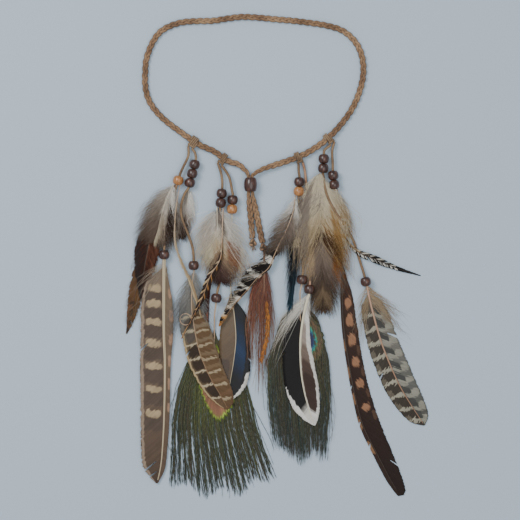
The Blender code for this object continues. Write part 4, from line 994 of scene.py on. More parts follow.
# Dark maroon strip hackle under the cream plume.
maroon = Lay("b1", seat=-2.4, height=0.4, heading=-4.5, length=117.0, width=7.0, rows=[
    (0.0, 0.11, 0.11, 0.0, None), (0.30, 0.12, 0.12, 0.006, 0.0), (0.52, 0.40, 0.40, -0.010, 0.0),
    (0.70, 0.48, 0.42, -0.030, 0.0), (0.87, 0.38, 0.32, -0.018, 0.0), (1.0, 0.06, 0.06, 0.0, 0.0)])
feather("maroon_hackle", maroon, vane_finish(
    "maroon_hackle_vane", 117.0, [(0.0, "#5B2A20"), (1.0, "#3D1C18")], [(0.0, "#6B3524"), (1.0, "#43201A")],
    [("#A8552B", "along", [(0.92, 0.05)], (0.3, 0.7), 0.03)], roughness=0.45),
    dark_shaft, bare=0.25, sweep_cot=1.6, ragged=0.2, seed=13, shaft_mm=0.55, tip_mm=0.12, cells=3)

# Black and white barred hackle that hangs out to the left from the third pair of laces. Its upper half is loose
# grey-brown down, white at the bead, and its tip is golden.
barred = Lay("c1", seat=-2.9, height=5.2, heading=-30.3, length=142.0, width=16.0, rows=[
    (0.0, 0.06, 0.06, 0.0, None), (0.10, 0.38, 0.36, 0.040, 3.6), (0.23, 0.72, 0.48, 0.061, 3.7),
    (0.33, 0.50, 0.36, 0.068, 3.7), (0.42, 0.50, 0.12, 0.078, 3.7), (0.50, 0.76, 0.12, 0.087, 3.7),
    (0.58, 0.80, 0.10, 0.060, 3.7), (0.70, 0.68, 0.08, 0.037, 3.7), (0.79, 0.42, 0.08, 0.018, 3.7),
    (0.88, 0.30, 0.08, 0.007, 3.7), (0.94, 0.26, 0.08, 0.003, 3.7), (1.0, 0.05, 0.05, 0.0, 3.7)])
feather("barred_hackle", barred, vane_finish(
    "black_white_barred_hackle", 142.0, [(0.0, "#8D7C6E"), (0.36, "#8D7C6E"), (0.42, "#E9E3D7"), (0.88, "#E4DAC8"),
                                         (0.93, "#C98A35"), (1.0, "#A8651E")],
    [(0.0, "#9C8B7C"), (0.42, "#D7CBB9"), (0.9, "#B58C5C"), (1.0, "#C07A2A")],
    [("#1C1613", "along", [(0.40, 0.02), (0.515, 0.038), (0.637, 0.036), (0.735, 0.026), (0.815, 0.022)],
      (0.0, 0.93), 0.01),
     ("#1E1512", "along", [(0.885, 0.018), (0.955, 0.008)], (0.0, 0.85), 0.008)], jitter_mm=2.0),
    tan_shaft, bare=0.34, sweep_cot=1.0, ragged=0.2,
    splits=[(0.42, -1, 0.35, 1.5), (0.56, -1, 0.3, 1.4), (0.68, -1, 0.4, 1.6), (0.79, -1, 0.3, 1.4)],
    seed=17, shaft_mm=0.6, tip_mm=0.2, cells=5,
    extra=lambda bm: [
        hairs(bm, loose_barbs(barred, count=900, seed=305, first=0.02, last=0.36, sweep_cot=1.4, thick=1.4,
                              spread=1.25, radius=0.14), material=2),
        hairs(bm, loose_barbs(barred, count=150, seed=307, first=0.4, last=0.86, sweep_cot=1.0, thick=0.9, spread=1.3,
                              radius=0.13, sides=(-1,)), material=3)],
    more=(down_finish("white_to_brown_down", [(0.0, "#EFEAE2"), (0.07, "#E2DBD0"), (0.13, "#8E7E70"),
                                              (0.4, "#6B5A4C")],
                      [(0.0, "#E6E0D6"), (0.08, "#C4B8AA"), (0.14, "#85766A"), (0.25, "#54463C"), (0.4, "#2E2622")],
                      [("#2A211C", [(0.06, 0.06)], (0.46, 0.54), 0.04)]),
          down_finish("white_hackle_tips", [(0.0, "#D9D0C2"), (1.0, "#D9D0C2")], [(0.0, "#BFB3A2"), (1.0, "#C4A780")],
                      [("#241C18", [(0.40, 0.02), (0.515, 0.036), (0.637, 0.034), (0.735, 0.026)],
                        (0.0, 1.0), 0.01)])))

# Black hackle with white stripes, out to the right over the fourth pair's lace.
black_striped = Lay("d2", seat=2.6, height=0.6, heading=44.0, length=113.0, width=8.0, rows=[
    (0.0, 0.10, 0.10, 0.0, None), (0.134, 0.10, 0.10, -0.107, 0.2), (0.274, 0.10, 0.10, -0.200, 1.0),
    (0.36, 0.12, 0.12, -0.240, 1.95), (0.50, 0.38, 0.36, -0.236, 2.0), (0.625, 0.55, 0.45, -0.181, 1.7),
    (0.80, 0.35, 0.30, -0.107, 0.5), (1.0, 0.06, 0.06, 0.0, 0.0)])
feather("black_striped_hackle", black_striped, vane_finish(
    "black_white_striped_hackle", 113.0, [(0.0, "#191614"), (1.0, "#151312")], [(0.0, "#1B1816"), (1.0, "#161413")],
    [("#DDD7CB", "root", every(0.38, 0.035, 13, 0.006), (0.12, 0.40), 0.004),
     ("#CFC6B6", "root", every(0.40, 0.06, 7, 0.008), (0.62, 0.95), 0.006),
     ("#B9A27C", "root", [(0.42, 0.06)], (0.5, 0.7), 0.03)], roughness=0.4, jitter_mm=2.2),
    dark_shaft, bare=0.3, sweep_cot=1.5, ragged=0.2, splits=[(0.56, -1, 0.3, 1.4), (0.7, 1, 0.3, 1.2)], seed=19,
    shaft_mm=0.55, tip_mm=0.12, cells=4)

# White feather with a black left vane and a brown patch in its right vane, on the middle right.
white_black = Lay("c2", seat=0.0, height=4.3, heading=2.3, length=126.0, width=32.0, rows=[
    (0.0, 0.03, 0.03, 0.0, None), (0.06, 0.24, 0.06, -0.016, 2.2), (0.20, 0.46, 0.19, -0.053, 2.0),
    (0.36, 0.52, 0.30, -0.079, 2.0), (0.55, 0.54, 0.42, -0.085, 2.0), (0.70, 0.54, 0.46, -0.073, 2.0),
    (0.85, 0.48, 0.36, -0.044, 2.0), (0.95, 0.27, 0.18, -0.015, 2.0), (1.0, 0.03, 0.03, 0.0, 2.0)])
feather("white_black_feather", white_black, vane_finish(
    "white_and_black_wing_vane", 121.0, [(0.0, "#EFEBE4"), (0.08, "#E2DAD0"), (0.15, "#1C1614"), (0.5, "#120F0E"),
                                         (0.82, "#15110F"), (0.87, "#D9D2C6"), (1.0, "#EFEBE3")],
    [(0.0, "#EFEAE2"), (0.3, "#E4DDD3"), (1.0, "#EDE8DF")],
    [("#A6968A", "root", [(0.48, 0.20)], (0.58, 0.72), 0.12, 0.08),
     ("#7C6A5E", "root", [(0.60, 0.17)], (0.59, 0.78), 0.12, 0.10),
     ("#55433A", "root", [(0.67, 0.13)], (0.60, 0.84), 0.12, 0.10),
     ("#44342D", "root", [(0.71, 0.09)], (0.62, 0.86), 0.10, 0.10),
     ("#EFEAE2", "along", [(0.88, 0.14)], (0.0, 0.03), 0.05, 0.03),
     ("#EFEAE2", "along", [(0.91, 0.12)], (0.0, 0.07), 0.05, 0.03),
     ("#EFEAE2", "along", [(0.93, 0.11)], (0.0, 0.11), 0.04, 0.03),
     ("#EFEAE2", "along", [(0.955, 0.09)], (0.0, 0.17), 0.03, 0.03),
     ("#B8AC9F", "root", [(0.03, 0.05)], (0.0, 0.5), 0.03)], roughness=0.5, jitter_mm=1.6),
    grooved_finish("thick_ivory_quill", "#F0E6CC", "#D9C7A0"), bare=0.045, sweep_cot=0.9, ragged=0.05,
    splits=[(0.34, -1, 0.75, 0.8)], seed=23, shaft_mm=1.35, tip_mm=0.25,
    extra=lambda bm: hairs(bm, loose_barbs(white_black, count=240, seed=309, first=0.01, last=0.10, sweep_cot=1.6,
                                           thick=1.1, spread=1.5, radius=0.12), material=2),
    more=(down_finish("white_wisps", [(0.0, "#EFEAE0"), (1.0, "#DAD3C8")], [(0.0, "#CFC5B6"), (1.0, "#9C9184")]),))

# Long dark tail feather with orange spots beside its shaft.
spotted = Lay("d2", seat=0.0, height=4.3, heading=12.0, length=297.0, width=18.0, rows=[
    (0.0, 0.05, 0.05, 0.0, None), (0.05, 0.05, 0.05, -0.004, 0.6), (0.13, 0.05, 0.05, -0.018, 0.4),
    (0.26, 0.06, 0.10, -0.029, 0.2), (0.33, 0.09, 0.52, -0.045, 0.0), (0.44, 0.11, 0.72, -0.063, 0.0),
    (0.58, 0.13, 0.76, -0.072, 0.0), (0.68, 0.15, 0.85, -0.073, 0.0), (0.76, 0.18, 0.92, -0.068, 0.0),
    (0.86, 0.22, 0.78, -0.042, 0.0), (0.94, 0.22, 0.64, -0.020, 0.0), (0.985, 0.16, 0.45, -0.005, 0.0),
    (1.0, 0.10, 0.22, 0.0, 0.0)])
feather("spotted_feather", spotted, vane_finish(
    "dark_brown_tail_vane", 288.0, [(0.25, "#4A3226"), (0.8, "#3A2820"), (1.0, "#33241C")],
    [(0.25, "#49342A"), (0.6, "#382720"), (1.0, "#2C201B")],
    [("#A6785A", "along", [(0.366, 0.006), (0.420, 0.008), (0.484, 0.007), (0.554, 0.005), (0.624, 0.003),
                           (0.700, 0.0)], (0.68, 0.80), 0.019, 0.13),
     ("#8E6A4C", "along", every(0.50, 0.083, 5, 0.012), (0.0, 0.34), 0.012),
     ("#5A4234", "along", every(0.45, 0.07, 5, 0.008), (0.9, 1.0), 0.014)], roughness=0.5, jitter_mm=3.2),
    dark_shaft, bare=0.24, sweep_cot=1.5, ragged=0.05,
    splits=[(0.62, -1, 0.3, 1.6), (0.74, -1, 0.3, 1.6), (0.84, 1, 0.6, 1.6), (0.81, -1, 0.3, 1.4)],
    seed=29, shaft_mm=1.2, tip_mm=0.3)

# Grey and cream barred wing feather on the far right.
grey_barred = Lay("d1_lower", seat=0.0, height=4.3, heading=22.4, length=144.0, width=32.0, rows=[
    (0.0, 0.03, 0.03, 0.0, None), (0.06, 0.22, 0.16, -0.010, 1.6), (0.19, 0.34, 0.42, -0.030, 0.3),
    (0.38, 0.42, 0.50, -0.052, 0.0), (0.55, 0.44, 0.52, -0.056, 0.0), (0.70, 0.45, 0.50, -0.050, 0.0),
    (0.84, 0.41, 0.42, -0.030, 0.0), (0.95, 0.29, 0.27, -0.009, 0.0), (1.0, 0.03, 0.03, 0.0, 0.0)])
bars = every(0.10, 0.094, 10, 0.009)
feather("grey_barred_feather", grey_barred, vane_finish(
    "grey_cream_barred_vane", 138.0, [(0.0, "#8C8272"), (0.2, "#4A4138"), (1.0, "#3E352D")],
    [(0.0, "#9A8E7C"), (0.3, "#7C776D"), (0.7, "#66655F"), (1.0, "#57524A")],
    [("#ABA38F", "along", [(c, 0.005) for c, _ in bars], (0.02, 0.46), 0.012),
     ("#6E6455", "along", [(c - 0.03, 0.010) for c, _ in bars], (0.0, 0.14), 0.02),
     ("#9B9788", "along", [(c + 0.02, 0.008) for c, _ in bars], (0.56, 0.94), 0.028),
     ("#4C4B47", "root", [(c + 0.05, 0.015) for c, _ in bars], (0.53, 0.72), 0.02)], jitter_mm=2.6),
    shaft_finish("pink_tan_shaft", "#C79F84", "#A87F62"), bare=0.06, sweep_cot=0.9, ragged=0.06,
    splits=[(0.30, 1, 0.5, 2.2), (0.52, -1, 0.6, 0.8)], seed=31, shaft_mm=1.1, tip_mm=0.25,
    extra=lambda bm: hairs(bm, loose_barbs(grey_barred, count=170, seed=311, first=0.01, last=0.13, sweep_cot=1.5,
                                           thick=1.2, spread=1.7, radius=0.13, sides=(1, 1, -1)), material=2),
    more=(down_finish("fawn_wisps", [(0.0, "#B39A7A"), (0.3, "#9C8F7C")], [(0.0, "#A88E6C"), (0.3, "#8E8270")]),))

# Golden-brown hackle at the far left, under the chestnut one.
golden = Lay("a1", seat=-1.6, height=0.3, heading=-18.1, length=148.0, width=14.0, rows=[
    (0.0, 0.06, 0.06, 0.0, None), (0.18, 0.10, 0.10, -0.033, 0.0), (0.42, 0.40, 0.40, -0.049, 0.0),
    (0.64, 0.50, 0.50, -0.038, 0.0), (0.82, 0.42, 0.45, -0.015, 0.0), (0.93, 0.20, 0.22, -0.004, 0.0),
    (1.0, 0.04, 0.04, 0.0, 0.0)])
feather("golden_hackle", golden, vane_finish(
    "golden_brown_hackle", 148.0, [(0.0, "#54392A"), (0.6, "#70503A"), (0.85, "#80563A"), (1.0, "#5A4636")],
    [(0.0, "#4E3524"), (0.6, "#6E4A2C"), (0.85, "#7E5632"), (1.0, "#54412E")],
    [("#3C3026", "along", [(0.80, 0.012), (0.86, 0.010), (0.92, 0.012), (0.97, 0.012)], (0.2, 0.8), 0.012)],
    roughness=0.5, mottle=0.8, jitter_mm=4.0),
    dark_shaft, bare=0.16, sweep_cot=1.5, ragged=0.25, splits=[(0.9, 1, 0.4, 1.6)], seed=37, shaft_mm=0.6,
    tip_mm=0.12, cells=5,
    extra=lambda bm: hairs(bm, loose_barbs(golden, count=330, seed=313, first=0.3, last=0.93, sweep_cot=1.8,
                                           thick=0.8, spread=1.1, radius=0.13), material=2),
    more=(down_finish("golden_fringe", [(0.0, "#684C34"), (1.0, "#7A5C3C")], [(0.0, "#705438"), (1.0, "#64503A")]),))

# Glossy chestnut hackle with loose edges, over the golden one.
chestnut = Lay("a1", seat=-1.6, height=2.0, heading=-16.8, length=113.0, width=22.0, rows=[
    (0.0, 0.04, 0.04, 0.0, None), (0.24, 0.10, 0.12, -0.049, 1.0), (0.46, 0.50, 0.48, -0.068, 1.0),
    (0.62, 0.58, 0.52, -0.058, 1.0), (0.80, 0.38, 0.42, -0.036, 1.0), (0.92, 0.18, 0.20, -0.014, 1.0),
    (1.0, 0.03, 0.03, 0.0, 1.0)])
feather("chestnut_hackle", chestnut, vane_finish(
    "chestnut_hackle_vane", 113.0, [(0.0, "#5A3A28"), (0.4, "#3A261E"), (1.0, "#241A17")],
    [(0.0, "#7A4E34"), (0.4, "#70422C"), (0.75, "#563224"), (1.0, "#33211A")],
    [("#1E1715", "root", [(0.62, 0.36)], (0.10, 0.40), 0.1),
     ("#7E4A30", "root", [(0.40, 0.25)], (0.56, 0.86), 0.1)], roughness=0.4, sheen=0.1, jitter_mm=4.0, coat=0.15),
    dark_shaft, bare=0.2, sweep_cot=1.6, ragged=0.15, seed=41, shaft_mm=0.5, tip_mm=0.12, cells=6,
    extra=lambda bm: hairs(bm, loose_barbs(chestnut, count=420, seed=315, first=0.15, last=0.9, sweep_cot=1.9,
                                           thick=0.9, spread=1.06, radius=0.13, lengths=(0.4, 1.15)), material=2),
    more=(down_finish("chestnut_fringe", [(0.0, "#8A6A50"), (0.3, "#5E3828"), (1.0, "#33211B")],
                      [(0.0, "#9A8672"), (0.3, "#54342A"), (1.0, "#2A1C18")]),))

# A narrow split ivory quill with short barbs, over the chevron feather.
ivory = Lay("a1", seat=3.0, height=4.2, heading=9.4, length=126.0, width=5.0, rows=[
    (0.0, 0.16, 0.16, 0.0, None), (0.12, 0.16, 0.16, -0.042, 2.7), (0.23, 0.16, 0.16, -0.073, 2.8),
    (0.41, 0.24, 0.24, -0.102, 3.0), (0.58, 0.36, 0.36, -0.077, 3.0), (0.71, 0.40, 0.36, -0.039, 3.0),
    (0.86, 0.40, 0.30, -0.015, 3.0), (1.0, 0.10, 0.10, 0.0, 3.0)])
feather("ivory_hackle", ivory, vane_finish(
    "ivory_hackle_vane", 126.0, [(0.0, "#D9CDB4"), (1.0, "#C4A97C")], [(0.0, "#CDBB98"), (1.0, "#A98A62")],
    [("#7C6248", "along", [(0.6, 0.35)], (0.44, 0.56), 0.05)], roughness=0.5),
    tan_shaft, bare=0.1, sweep_cot=3.4, ragged=0.5, seed=43, shaft_mm=0.4, tip_mm=0.2, cells=3)

# The down plumes
# Soft down from under the body feathers: hundreds of loose barbs with no hooks, so they stand apart as fluff.
# Each plume is glued beside the bead's hole, and its barbs lie over a thin ragged ground of the same down.


def plume(name, lay, finish, shaft, count, seed, thick, sweep_cot=1.6, ground=0.62, tier=0.0, curl=0.35,
          radius=0.13, first=0.02, last=0.9, spread=1.12, shaft_stop=0.7, extra=None, more=()):
    """One down plume: ragged ground, loose barbs and a thin soft shaft."""
    bm = begin()
    full = lay.width
    lay.width = full * ground
    lay_vane(bm, lay, bare=max(first, 0.05), sweep_cot=sweep_cot, ragged=0.5, seed=seed, end=min(last + 0.05, 0.97),
             cells=4, camber=0.5 * thick)
    lay.width = full
    hairs(bm, loose_barbs(lay, count=count, seed=seed, first=first, last=last, sweep_cot=sweep_cot, thick=thick,
                          spread=spread, radius=radius, curl=curl, tier=tier))
    lay_shaft(bm, lay, 0.45, 0.12, crown=thick * 0.6 + 0.4, stop=shaft_stop)
    if extra is not None:
        extra(bm, lay)
    hand_over(name.replace("_plume", "_down"), bm, [name], [finish, shaft, *more])


down_shaft = shaft_finish("pale_down_shaft", "#DCCFB6", "#C4B292")

# Grey-brown down at the far left, with pale and dark wisps on its right.
smoke = Lay("a1", seat=-3.0, height=4.4, heading=-19.0, length=60.0, width=34.0, rows=[
    (0.0, 0.05, 0.05, 0.0, None), (0.15, 0.18, 0.20, -0.02, 2.0), (0.40, 0.34, 0.42, -0.03, 2.0),
    (0.70, 0.42, 0.50, -0.01, 2.0), (0.90, 0.38, 0.44, 0.0, 2.0), (1.0, 0.10, 0.14, 0.0, 2.0)])
smoke_wisps = down_finish("dark_and_cream_wisps", [(0.0, "#CFC4B4"), (0.5, "#B8A994"), (1.0, "#BFAE92")],
                          [(0.0, "#A3937F"), (0.5, "#8E7C68"), (1.0, "#C9BA9E")])
plume("smoke_plume", smoke, down_finish(
    "grey_brown_down", [(0.0, "#DED6CB"), (0.16, "#B5A99B"), (0.4, "#8E7F70"), (0.7, "#77665A"), (1.0, "#6A5647")],
    [(0.0, "#9C9084"), (0.3, "#7E7066"), (0.6, "#66564B"), (1.0, "#57473B")],
    [("#E4DDD2", [(0.08, 0.10)], (0.45, 0.85), 0.06), ("#3F3028", [(0.42, 0.16)], (0.72, 0.98), 0.08),
     ("#C9BEAF", [(0.30, 0.14)], (0.46, 0.62), 0.08)]),
    down_shaft, count=1500, seed=101, thick=1.6, sweep_cot=1.5, spread=1.2, extra=lambda bm, lay: hairs(
        bm, loose_barbs(lay, count=380, seed=102, first=0.45, last=0.95, sweep_cot=2.6, thick=1.4, spread=1.0,
                        radius=0.13, sides=(1,), floor=1.0, lengths=(0.4, 1.0)), material=2),
    more=(smoke_wisps,))

# Small white tuft with a dark end, between the first pair of laces.
white = Lay("a2", seat=0.0, height=1.3, heading=-9.0, length=50.0, width=15.0, rows=[
    (0.0, 0.20, 0.20, 0.0, None), (0.20, 0.42, 0.42, 0.02, 0.0), (0.50, 0.44, 0.46, 0.02, 0.0),
    (0.80, 0.38, 0.42, 0.0, 0.0), (1.0, 0.14, 0.14, 0.0, 0.0)])
plume("white_plume", white, down_finish(
    "white_grey_down", [(0.0, "#F4F0EA"), (0.3, "#E9E2D8"), (0.5, "#A8978A"), (0.62, "#5A463A"), (1.0, "#3E2D24")],
    [(0.0, "#EFEAE2"), (0.3, "#DCD3C7"), (0.42, "#A39488"), (0.55, "#4E3B30"), (1.0, "#33241D")],
    [("#B9AFA3", [(0.25, 0.2)], (0.25, 0.42), 0.08)]), down_shaft, count=760, seed=103, thick=1.5, sweep_cot=2.2,
    spread=1.15, shaft_stop=0.4)

# Cream and grey plume with a dark brown end, on the second pair of laces.
cream = Lay("b1", seat=-3.0, height=4.4, heading=1.0, length=72.0, width=42.0, rows=[
    (0.0, 0.06, 0.06, 0.0, None), (0.06, 0.16, 0.14, 0.0, 2.4), (0.11, 0.24, 0.24, 0.0, 2.2),
    (0.18, 0.32, 0.36, 0.0, 2.0), (0.28, 0.42, 0.46, 0.0, 2.0), (0.50, 0.42, 0.50, 0.0, 2.0),
    (0.75, 0.26, 0.44, 0.02, 2.0), (1.0, 0.10, 0.14, 0.04, 2.0)])
plume("cream_plume", cream, down_finish(
    "cream_grey_down", [(0.0, "#E2DACE"), (0.25, "#D2C8BA"), (0.42, "#CDBB9C"), (0.55, "#B39470"), (0.66, "#7C6452"),
                        (0.85, "#54403A"), (1.0, "#3A2622")],
    [(0.0, "#DAD5CC"), (0.2, "#D6D0C6"), (0.36, "#CDBFA6"), (0.48, "#C2A67C"), (0.6, "#86705F"), (0.8, "#4A3630"),
     (1.0, "#321F1C")],
    [("#85786C", [(0.10, 0.10)], (0.46, 0.66), 0.10), ("#87553A", [(0.42, 0.07)], (0.74, 1.0), 0.06),
     ("#D2C4A6", [(0.48, 0.08)], (0.0, 0.30), 0.06), ("#C9BCAC", [(0.22, 0.1)], (0.1, 0.3), 0.08)]),
    ivory_shaft, count=2500, seed=107, thick=1.8, sweep_cot=1.45, tier=0.4, last=0.95, spread=1.15, curl=0.45,
    shaft_stop=0.64)

# Long thin blue-black plume behind the third pair of laces.
black = Lay("c1", seat=3.0, height=4.2, heading=-5.5, length=116.0, width=13.0, rows=[
    (0.0, 0.12, 0.10, 0.0, None), (0.06, 0.16, 0.14, 0.0, 2.2), (0.12, 0.30, 0.20, 0.0, 2.0),
    (0.22, 0.52, 0.34, 0.0, 2.0), (0.50, 0.62, 0.34, 0.0, 2.0), (0.62, 0.45, 0.20, 0.0, 2.0),
    (0.75, 0.36, 0.12, 0.0, 3.0), (1.0, 0.20, 0.12, 0.0, 3.0)])
plume("black_plume", black, down_finish(
    "blue_black_down", [(0.0, "#3A3A40"), (0.2, "#141417"), (0.5, "#121214"), (0.7, "#141E24"), (1.0, "#1A2C34")],
    [(0.0, "#3A3A40"), (0.2, "#17181C"), (0.45, "#191E22"), (0.65, "#1E323C"), (1.0, "#24485A")], roughness=0.5,
    sheen=0.1),
    dark_shaft, count=950, seed=109, thick=1.4, sweep_cot=4.2, ground=0.4, curl=0.14, last=0.86, spread=1.05,
    shaft_stop=0.5)

# The largest plume: a pale gold body feather over brown-grey down, on the fourth pair of laces.
buff = Lay("d1", seat=-3.0, height=3.6, heading=1.5, length=134.0, width=42.0, rows=[
    (0.0, 0.05, 0.05, 0.0, None), (0.05, 0.12, 0.10, -0.01, 2.2), (0.10, 0.22, 0.17, -0.01, 2.0),
    (0.17, 0.36, 0.26, 0.0, 2.0), (0.30, 0.44, 0.38, 0.0, 2.0), (0.45, 0.46, 0.46, 0.0, 2.0),
    (0.55, 0.44, 0.48, 0.0, 2.0), (0.66, 0.38, 0.44, 0.0, 2.0), (0.80, 0.28, 0.34, 0.0, 2.0),
    (0.90, 0.24, 0.24, 0.0, 2.0), (1.0, 0.08, 0.08, 0.0, 2.0)])


def upper_tier(bm, lay):
    """The pale body feather on top, whose loose tips end half way down."""
    hairs(bm, loose_barbs(lay, count=2100, seed=117, first=0.0, last=0.31, sweep_cot=1.9, thick=2.0, spread=1.1,
                          radius=0.13, curl=0.55, floor=2.0), material=2)
    hairs(bm, loose_barbs(lay, count=300, seed=118, first=0.10, last=0.24, sweep_cot=1.0, thick=1.6, spread=1.1,
                          radius=0.13, curl=0.6, sides=(-1,), floor=2.4, lengths=(0.5, 1.2)), material=3)
    hairs(bm, loose_barbs(lay, count=190, seed=119, first=0.27, last=0.46, sweep_cot=1.3, thick=1.6, spread=1.05,
                          radius=0.14, curl=0.35, sides=(1,), floor=2.4, lengths=(0.7, 1.1)), material=4)


plume("buff_plume", buff, down_finish(
    "brown_grey_down", [(0.0, "#B39A78"), (0.30, "#6A4A34"), (0.40, "#4C3628"), (0.50, "#8B7868"), (0.64, "#7A6A5E"),
                        (0.78, "#4E3E34"), (0.86, "#7B6850"), (0.92, "#3E3028"), (1.0, "#6A5540")],
    [(0.0, "#A98F6E"), (0.26, "#54392A"), (0.36, "#4E382B"), (0.48, "#9C8B7B"), (0.62, "#5E4E44"), (0.74, "#33281F"),
     (0.84, "#8A745A"), (0.90, "#3A2C24"), (1.0, "#5A4A3A")],
    [("#8E5A2E", [(0.44, 0.10)], (0.80, 1.0), 0.06), ("#C4A886", [(0.50, 0.05)], (0.0, 0.24), 0.06)]),
    down_shaft, count=2500, seed=113, thick=1.7, sweep_cot=1.9, tier=0.3, first=0.26, last=0.93, spread=1.1,
    shaft_stop=0.3, extra=upper_tier, more=(
        down_finish("pale_gold_down", [(0.0, "#E6D9BC"), (0.15, "#DDCEB0"), (0.28, "#CDB996"), (0.4, "#A88862")],
                    [(0.0, "#DDD0B4"), (0.12, "#D6C8AE"), (0.22, "#C6B496"), (0.32, "#A08258")],
                    [("#9C8D7E", [(0.14, 0.10)], (0.0, 0.16), 0.10), ("#AE8A58", [(0.26, 0.06)], (0.84, 1.0), 0.08)]),
        down_finish("grey_wing_down", [(0.0, "#9A8B80"), (0.3, "#8A7B70")], [(0.0, "#6E6058"), (0.2, "#A09286")]),
        down_finish("rust_gold_down", [(0.2, "#A5865C"), (0.32, "#8A602F"), (0.42, "#3E2C22"), (0.5, "#96683A")],
                    [(0.2, "#A88C66"), (0.32, "#8E6234"), (0.42, "#4A3222"), (0.5, "#865A30")])))

# Small tan tuft beside the largest plume.
tan = Lay("d2", seat=1.0, height=4.2, heading=12.0, length=46.0, width=13.0, rows=[
    (0.0, 0.16, 0.16, 0.0, None), (0.30, 0.42, 0.44, 0.0, 1.6), (0.70, 0.46, 0.50, 0.0, 1.5),
    (1.0, 0.14, 0.14, 0.0, 1.5)])
plume("tan_plume", tan, down_finish(
    "tan_down", [(0.0, "#C9BEB0"), (0.3, "#B59672"), (1.0, "#A07C54")],
    [(0.0, "#BDB4A8"), (0.3, "#A98A64"), (1.0, "#94836C")]), down_shaft, count=800, seed=127, thick=1.7,
    sweep_cot=1.9, spread=1.15, shaft_stop=0.5)

# The peacock herl and the rust fringe
# Peacock tail feathers hang eye down: long loose herls, each edged with minute metallic barbules, leave the
# shaft and fan out round the bronze and teal eye. The rust fringe is dyed hackle, tied to the end of the tail.
PIXEL = 0.943
BEAD_IN_PHOTO = (250.5, 184.8)
EYE_RINGS = 10
EYE_THICK = 0.2
EYE_BARBS = 150.0


def photo_point(x, y, height=0.0):
    """A place in the photograph, in pixels, as millimetres from the centre bead."""
    return Vector(((x - BEAD_IN_PHOTO[0]) * PIXEL, (BEAD_IN_PHOTO[1] - y) * PIXEL, height))


class Fan:
    """The outline of one fringe, read by the share of its length."""

    def __init__(self, holder, height, heading, length, layer, stem, left, tips, right):
        rise = 1.4 if holder.endswith("_tail") else 2.0
        self.lay = Lay(holder, seat=0.0, height=height, heading=heading, length=length, width=1.0, rows=[
            (0.0, 0.0, 0.0, 0.0, None), (0.03, 0.0, 0.0, 0.0, layer + rise), (0.2, 0.0, 0.0, 0.0, layer),
            (1.0, 0.0, 0.0, 0.0, layer)])
        self.stem, self.tips = stem, tips
        self.left = [(stem[-1][0], stem[-1][1]), *left, tips[0]]
        self.right = [(stem[-1][0], stem[-1][1]), *right[::-1], tips[-1]]

    def edge(self, line, u):
        for (u0, v0), (u1, v1) in zip(line, line[1:]):
            if u <= u1 or (u1, v1) == line[-1]:
                return v0 + (v1 - v0) * min(max((u - u0) / max(u1 - u0, 1e-6), 0.0), 1.3)
        return line[-1][1]

    def tip(self, s):
        """How far down the tips reach at a share of the way across."""
        at = min(max(s, 0.0), 1.0) * (len(self.tips) - 1)
        i = min(int(at), len(self.tips) - 2)
        return self.tips[i][0] + (self.tips[i + 1][0] - self.tips[i][0]) * (at - i)

    def point(self, u, v, high):
        point = self.lay.base + self.lay.down * (u * self.lay.length) + self.lay.right * (v * self.lay.length)
        point.z = self.lay.read(u)[3] + high
        return point


def herl(fan, count, seed, clumps, radius, segments, high, roots=(0.0, 0.35), trim=0.16, gather=0.55, wave=0.006):
    """Strands from the fringe's shaft to its tips, gathered into loose clumps towards the ends."""
    rng = random.Random(seed)
    strands = []
    start_u, start_v = fan.stem[-1][0], fan.stem[-1][1]
    for k in range(count):
        s = (k + rng.random()) / count
        clump = math.floor(s * clumps)
        centre = (clump + 0.5 + 0.42 * math.sin(clump * 12.9)) / clumps
        inner = 1.0 - abs(2 * s - 1)
        first = start_u + roots[0] + (roots[1] - roots[0]) * inner * rng.random()
        tip_u = fan.tip(s)
        tip_u *= 1.0 - trim * rng.random() ** 2 - 0.03 * (1 + math.sin(clump * 7.3))
        phase, amplitude = rng.random() * math.tau, wave * rng.gauss(0.0, 1.0)
        level = high * (0.15 + 0.85 * rng.random())
        points, across = [], []
        for i in range(segments + 1):
            t = i / segments
            u = first + (tip_u - first) * t
            pull = s + (centre - s) * gather * soft_step(t * 1.3 - 0.35)
            v = fan.edge(fan.left, u) * (1 - pull) + fan.edge(fan.right, u) * pull
            v = start_v + (v - start_v) * soft_step((u - first) / 0.16 + 0.25 * (1 - inner))
            v += amplitude * math.sin(phase + 5.0 * t) * t
            points.append(fan.point(u, v, level))
            across.append(s)
        strands.append((points, radius * (0.7 + 0.6 * rng.random()), first, across, rng.random()))
    return strands


def herl_finish(name, along, by_chance, mix, metallic, roughness, centre=None):
    """Herl: barbules with a metallic, slightly greasy sheen. Green near the eye, darker towards the tips.

    by_chance holds the colours that single strands take. centre is a colour and its marks across and along."""
    material, tree, shader = new_finish(name, Metallic=metallic, Roughness=roughness, Sheen_Weight=0.25)
    surface, detail = read_uv(tree, "surface"), read_uv(tree, "detail")
    base = tone_ramp(tree, detail[0], along)
    if centre is not None:
        code, middle, reach = centre
        both = reckon(tree, "MULTIPLY", bumps(tree, surface[1], [middle], 0.18), bumps(tree, detail[0], [reach], 0.15))
        base = blend(tree, both, base, paint(code))
    colour = blend(tree, mix, base, tone_ramp(tree, detail[1], by_chance))
    fleck_light = reckon(tree, "MULTIPLY_ADD", patches(tree, 1.1, Detail=2.0), 1.3, 0.35)
    strand_light = reckon(tree, "MULTIPLY_ADD", chance_of(tree, detail[1]), 1.0, 0.5)
    light = reckon(tree, "MULTIPLY", strand_light, fleck_light)
    tree.links.new(lit(tree, colour, light), shader.inputs["Base Color"])
    return material


